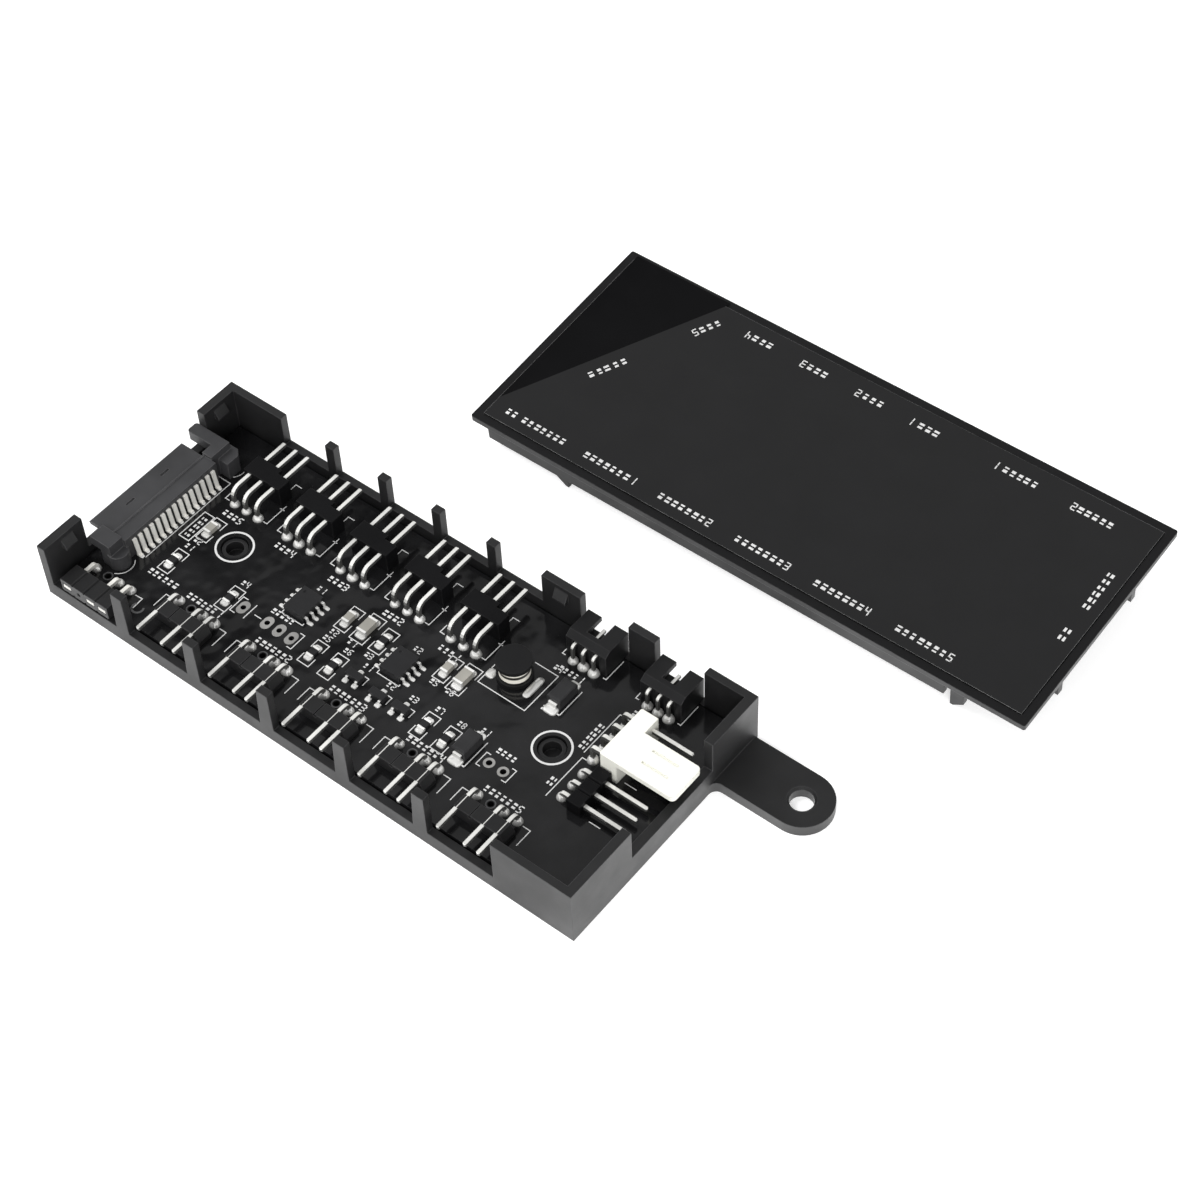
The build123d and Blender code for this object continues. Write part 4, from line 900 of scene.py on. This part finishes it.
# The contacts' sides are painted a little darker and their edges lighter: painted shade and painted highlight.
contact_tin = plated("contact_tin", (0.95, 0.935, 0.88), (0.25, 0.4), metal=0.15, side=0.8)
dress(["power_inlet_contacts"], contact_tin)

# The board light socket in the front left corner: a black bar with notches,
# moulded round three contacts for the main board's lead, in the inlet's tin.
socket_black = moulded("socket_black", (0.014, 0.014, 0.0145), (0.12, 0.12, 0.12), (0.38, 0.52),
                       specular=0.4)
dress(["board_light_socket_body"], socket_black)
dress(["board_light_socket_contacts"], contact_tin)

# The fan input header, moulded in a pale cream plastic with a lock plate that
# lies over three of its four pins.
input_cream = moulded("input_cream", (0.89, 0.885, 0.805), (0.97, 0.97, 0.93), (0.35, 0.45), mottle=0.03)
dress(["fan_input_body"], input_cream)
dress(["fan_input_pins"], pin_tin)

# The chips, transistors and resistors: matte black bodies on thin tinned leads
# or with tinned ends, soldered flat to the board. The diodes and capacitors have
# leads and ends of the same tin.
chip_black = moulded("chip_black", (0.014, 0.014, 0.015), (0.08, 0.08, 0.08), (0.4, 0.55), width=0.0001,
                     specular=0.38)
dress(["control_chip_body_1", "control_chip_body_2", "transistor_bodies", "resistor_bodies"], chip_black)
# The leads' sides are painted darker and their edges lighter: painted shade and painted highlight.
lead_tin = plated("lead_tin", (0.95, 0.945, 0.92), (0.15, 0.3), metal=0.3, side=0.55)
dress(["control_chip_leads_1", "control_chip_leads_2", "transistor_leads", "diode_leads"], lead_tin)
dress(["resistor_ends", "capacitor_ends"], lead_tin)

# The two diodes: square black moulded blocks on wide tinned leads, a little
# greyer than the chips.
diode_grey = moulded("diode_grey", (0.021, 0.021, 0.022), (0.1, 0.1, 0.1), (0.4, 0.55), mottle=0.3,
                     width=0.0001, specular=0.4)
dress(["diode_bodies"], diode_grey)

# The capacitors: blocks of fired tan ceramic, with tinned ends that are soldered
# flat to the board.
ceramic_tan = moulded("ceramic_tan", (0.31, 0.30, 0.27), (0.55, 0.53, 0.48), (0.4, 0.5), mottle=0.15,
                      width=0.0001)
dress(["capacitor_bodies"], ceramic_tan)

# The inductor: a dark ferrite spool wound with enamelled wire, glued down and
# soldered on both sides. The winding is painted dark with two pale bands over it,
# which stand in for the highlights on its turns: painted highlight.
ferrite_grey = moulded("ferrite_grey", (0.0085, 0.0085, 0.009), (0.05, 0.05, 0.05), (0.5, 0.65),
                       grain=1800.0, specular=0.28)
dress(["inductor_core"], ferrite_grey)
# Painted highlight: pale bands up the winding, set by height, with the winding's dark colour between them and
# at its ends.
painted_coil_highlights, given, result = shader_group(
    "painted_coil_highlights", [("Highlight", colour_kind, (0.8, 0.7, 0.5, 1)), ("Between Highlights", colour_kind, (0.02, 0.02, 0.02, 1)),
                   ("Foot", number_kind, 0.0042), ("Top", number_kind, 0.0064)],
    [("Colour", colour_kind)])
where = add(painted_coil_highlights, "TexCoord")
axes = add(painted_coil_highlights, "SeparateXYZ", {0: where.outputs["Object"]})
rise = add(painted_coil_highlights, "MapRange", {"Value": axes.outputs["Z"], "From Min": given["Foot"],
                                    "From Max": given["Top"]})
bands = add(painted_coil_highlights, "ValToRGB", {0: rise.outputs[0]})
highlight_bands = ((0.06, 1.0), (0.38, 1.0), (0.45, 0.0), (0.66, 0.0), (0.7, 1.0), (0.8, 1.0))
for stop, share in highlight_bands:
    mark = bands.color_ramp.elements.new(stop)
    mark.color = (share, share, share, 1)
for end in (0, -1):
    bands.color_ramp.elements[end].color = (0, 0, 0, 1)
blend = add(painted_coil_highlights, "Mix", {0: bands.outputs[0], 6: given["Between Highlights"], 7: given["Highlight"]}, data_type="RGBA")
painted_coil_highlights.links.new(blend.outputs[2], result["Colour"])
winding_painted_highlights = moulded("winding_painted_highlights", (0.8, 0.7, 0.5), (0.9, 0.8, 0.6), (0.3, 0.4), mottle=0.1,
                       width=0.00005, painted_edge_amount=0.2)
tree = winding_painted_highlights.node_tree
winding_low, winding_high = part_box("inductor_winding")
bands = add(tree, "Group", {"Highlight": (0.92, 0.89, 0.80, 1), "Between Highlights": (0.02, 0.018, 0.015, 1),
                            "Foot": winding_low.z, "Top": winding_high.z}, node_tree=painted_coil_highlights)
tree.links.new(bands.outputs["Colour"], tree.nodes["Principled BSDF"].inputs["Base Color"])
dress(["inductor_winding"], winding_painted_highlights)

# The tray's cover, taken off: a black moulding like the tray, with hooks and
# posts under it that snap into the tray, and a recess for its panel on top.
cover_black = moulded("cover_black", (0.0045, 0.0045, 0.005), (0.10, 0.10, 0.103), (0.4, 0.55),
                      specular=0.36)
dress(["cover_frame"], cover_black)

# The cover's panel: a polished black sheet bonded into the frame's recess. Its
# places are measured from the cover's front left corner, along and across the
# sheet, which lies a little tilted.
# Its edges are painted a light grey: painted highlight.
panel_gloss = moulded("panel_gloss", (0.0070, 0.0070, 0.0075), (0.34, 0.34, 0.34), (0.008, 0.016),
                      mottle=0.1, grain=400.0, depth=0.02, width=0.00015, painted_edge_amount=0.7)
dress(["cover_panel"], panel_gloss)
panel_inset = 1.55
face_depth = 0.01
nearly_level = 0.9
panel_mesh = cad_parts["cover_panel"].data
panel_face = max((p for p in panel_mesh.polygons if p.normal.z > nearly_level), key=lambda p: p.center.z)
panel_up = panel_face.normal.copy()
panel_corners = [v.co.copy() for v in panel_mesh.vertices
                 if abs((v.co - panel_face.center).dot(panel_up)) < face_depth * MM]
panel_start = min(panel_corners, key=lambda c: c.x + c.y)
panel_far = max(panel_corners, key=lambda c: c.x - c.y)
panel_along = (panel_far - panel_start).normalized()
panel_across = panel_up.cross(panel_along)


def on_panel(x, y, rise=0.0):
    """A place on the panel, measured in millimetres from the cover's front left corner."""
    right, back = x - panel_inset, y - panel_inset
    return panel_start + (right * panel_along + back * panel_across + rise * panel_up) * MM


# The panel's far left corner: a field of darker, duller black laid on the sheet
# up to a slanting line, which paints the dark reflection there: painted reflection.
field_front = (1.62, 5.66)
field_right = (21.15, 42.95)
field_outline = (field_front, field_right, (field_front[0], field_right[1]))


def fill_painted_reflection(shape):
    """A thin three-sided field in the corner, darker and duller than the panel: painted reflection."""
    rings = [[shape.verts.new(on_panel(x, y, rise)) for x, y in field_outline] for rise in (0.0, ink_thick)]
    join_rings(shape, rings)


painted_reflection_black = moulded("painted_reflection_black", (0.0042, 0.0042, 0.0046), (0.02, 0.02, 0.02), (0.12, 0.18),
                       mottle=0.15, grain=900.0, depth=0.05, width=0.00005, painted_edge_amount=0.2, specular=0.1)
solid("panel_painted_reflection", painted_reflection_black, fill_painted_reflection)

# The marks on the panel, in white ink like the board's: rows of split bars with
# the numbers of the headers under them, each row turned as it is read from its
# own side, and two that run along the corner field's slanting edge.
panel_mark_high = 1.3
panel_mark_ink = 0.2
field_slant = math.atan2(field_right[1] - field_front[1], field_right[0] - field_front[0])
back_turn = math.pi
slant_turn = back_turn + field_slant
# Start along and across, number of marks, their pitch, the numeral and the turn.
panel_rows = (
    (4.5, 3.35, 2, 1.25, None, 0.0),
    (7.8, 3.35, 7, 1.3, None, 0.0),
    (20.5, 3.4, 7, 1.34, 1, 0.0),
    (35.4, 3.4, 7, 1.34, 2, 0.0),
    (50.4, 3.4, 7, 1.34, 3, 0.0),
    (65.3, 3.4, 7, 1.34, 4, 0.0),
    (80.3, 3.4, 7, 1.34, 5, 0.0),
    (32.2, 39.7, 3, 1.42, 4, back_turn),
    (43.2, 39.6, 3, 1.42, 3, back_turn),
    (54.1, 39.5, 3, 1.42, 2, back_turn),
    (64.9, 39.4, 3, 1.42, 1, back_turn),
    (83.1, 39.4, 5, 1.3, 1, back_turn),
    (96.9, 39.2, 5, 1.3, 2, back_turn),
    (13.5, 23.6, 5, 1.46, None, slant_turn),
    (21.4, 38.8, 3, 1.36, 5, slant_turn),
    (102.3, 23.0, 6, 1.4, None, quarter_turn),
    (102.3, 16.0, 2, 1.6, None, quarter_turn),
)


def print_panel(shape):
    """The rows of marks along the panel's front, back and ends."""
    dice = random.Random(3)
    for x, y, count, pitch, value, turned in panel_rows:
        marks = (panel_mark_high, pitch, panel_mark_ink)
        tally(shape, on_panel, (x, y), count, marks, dice, value=value, turned=turned)


solid("panel_marks", white_ink, print_panel)
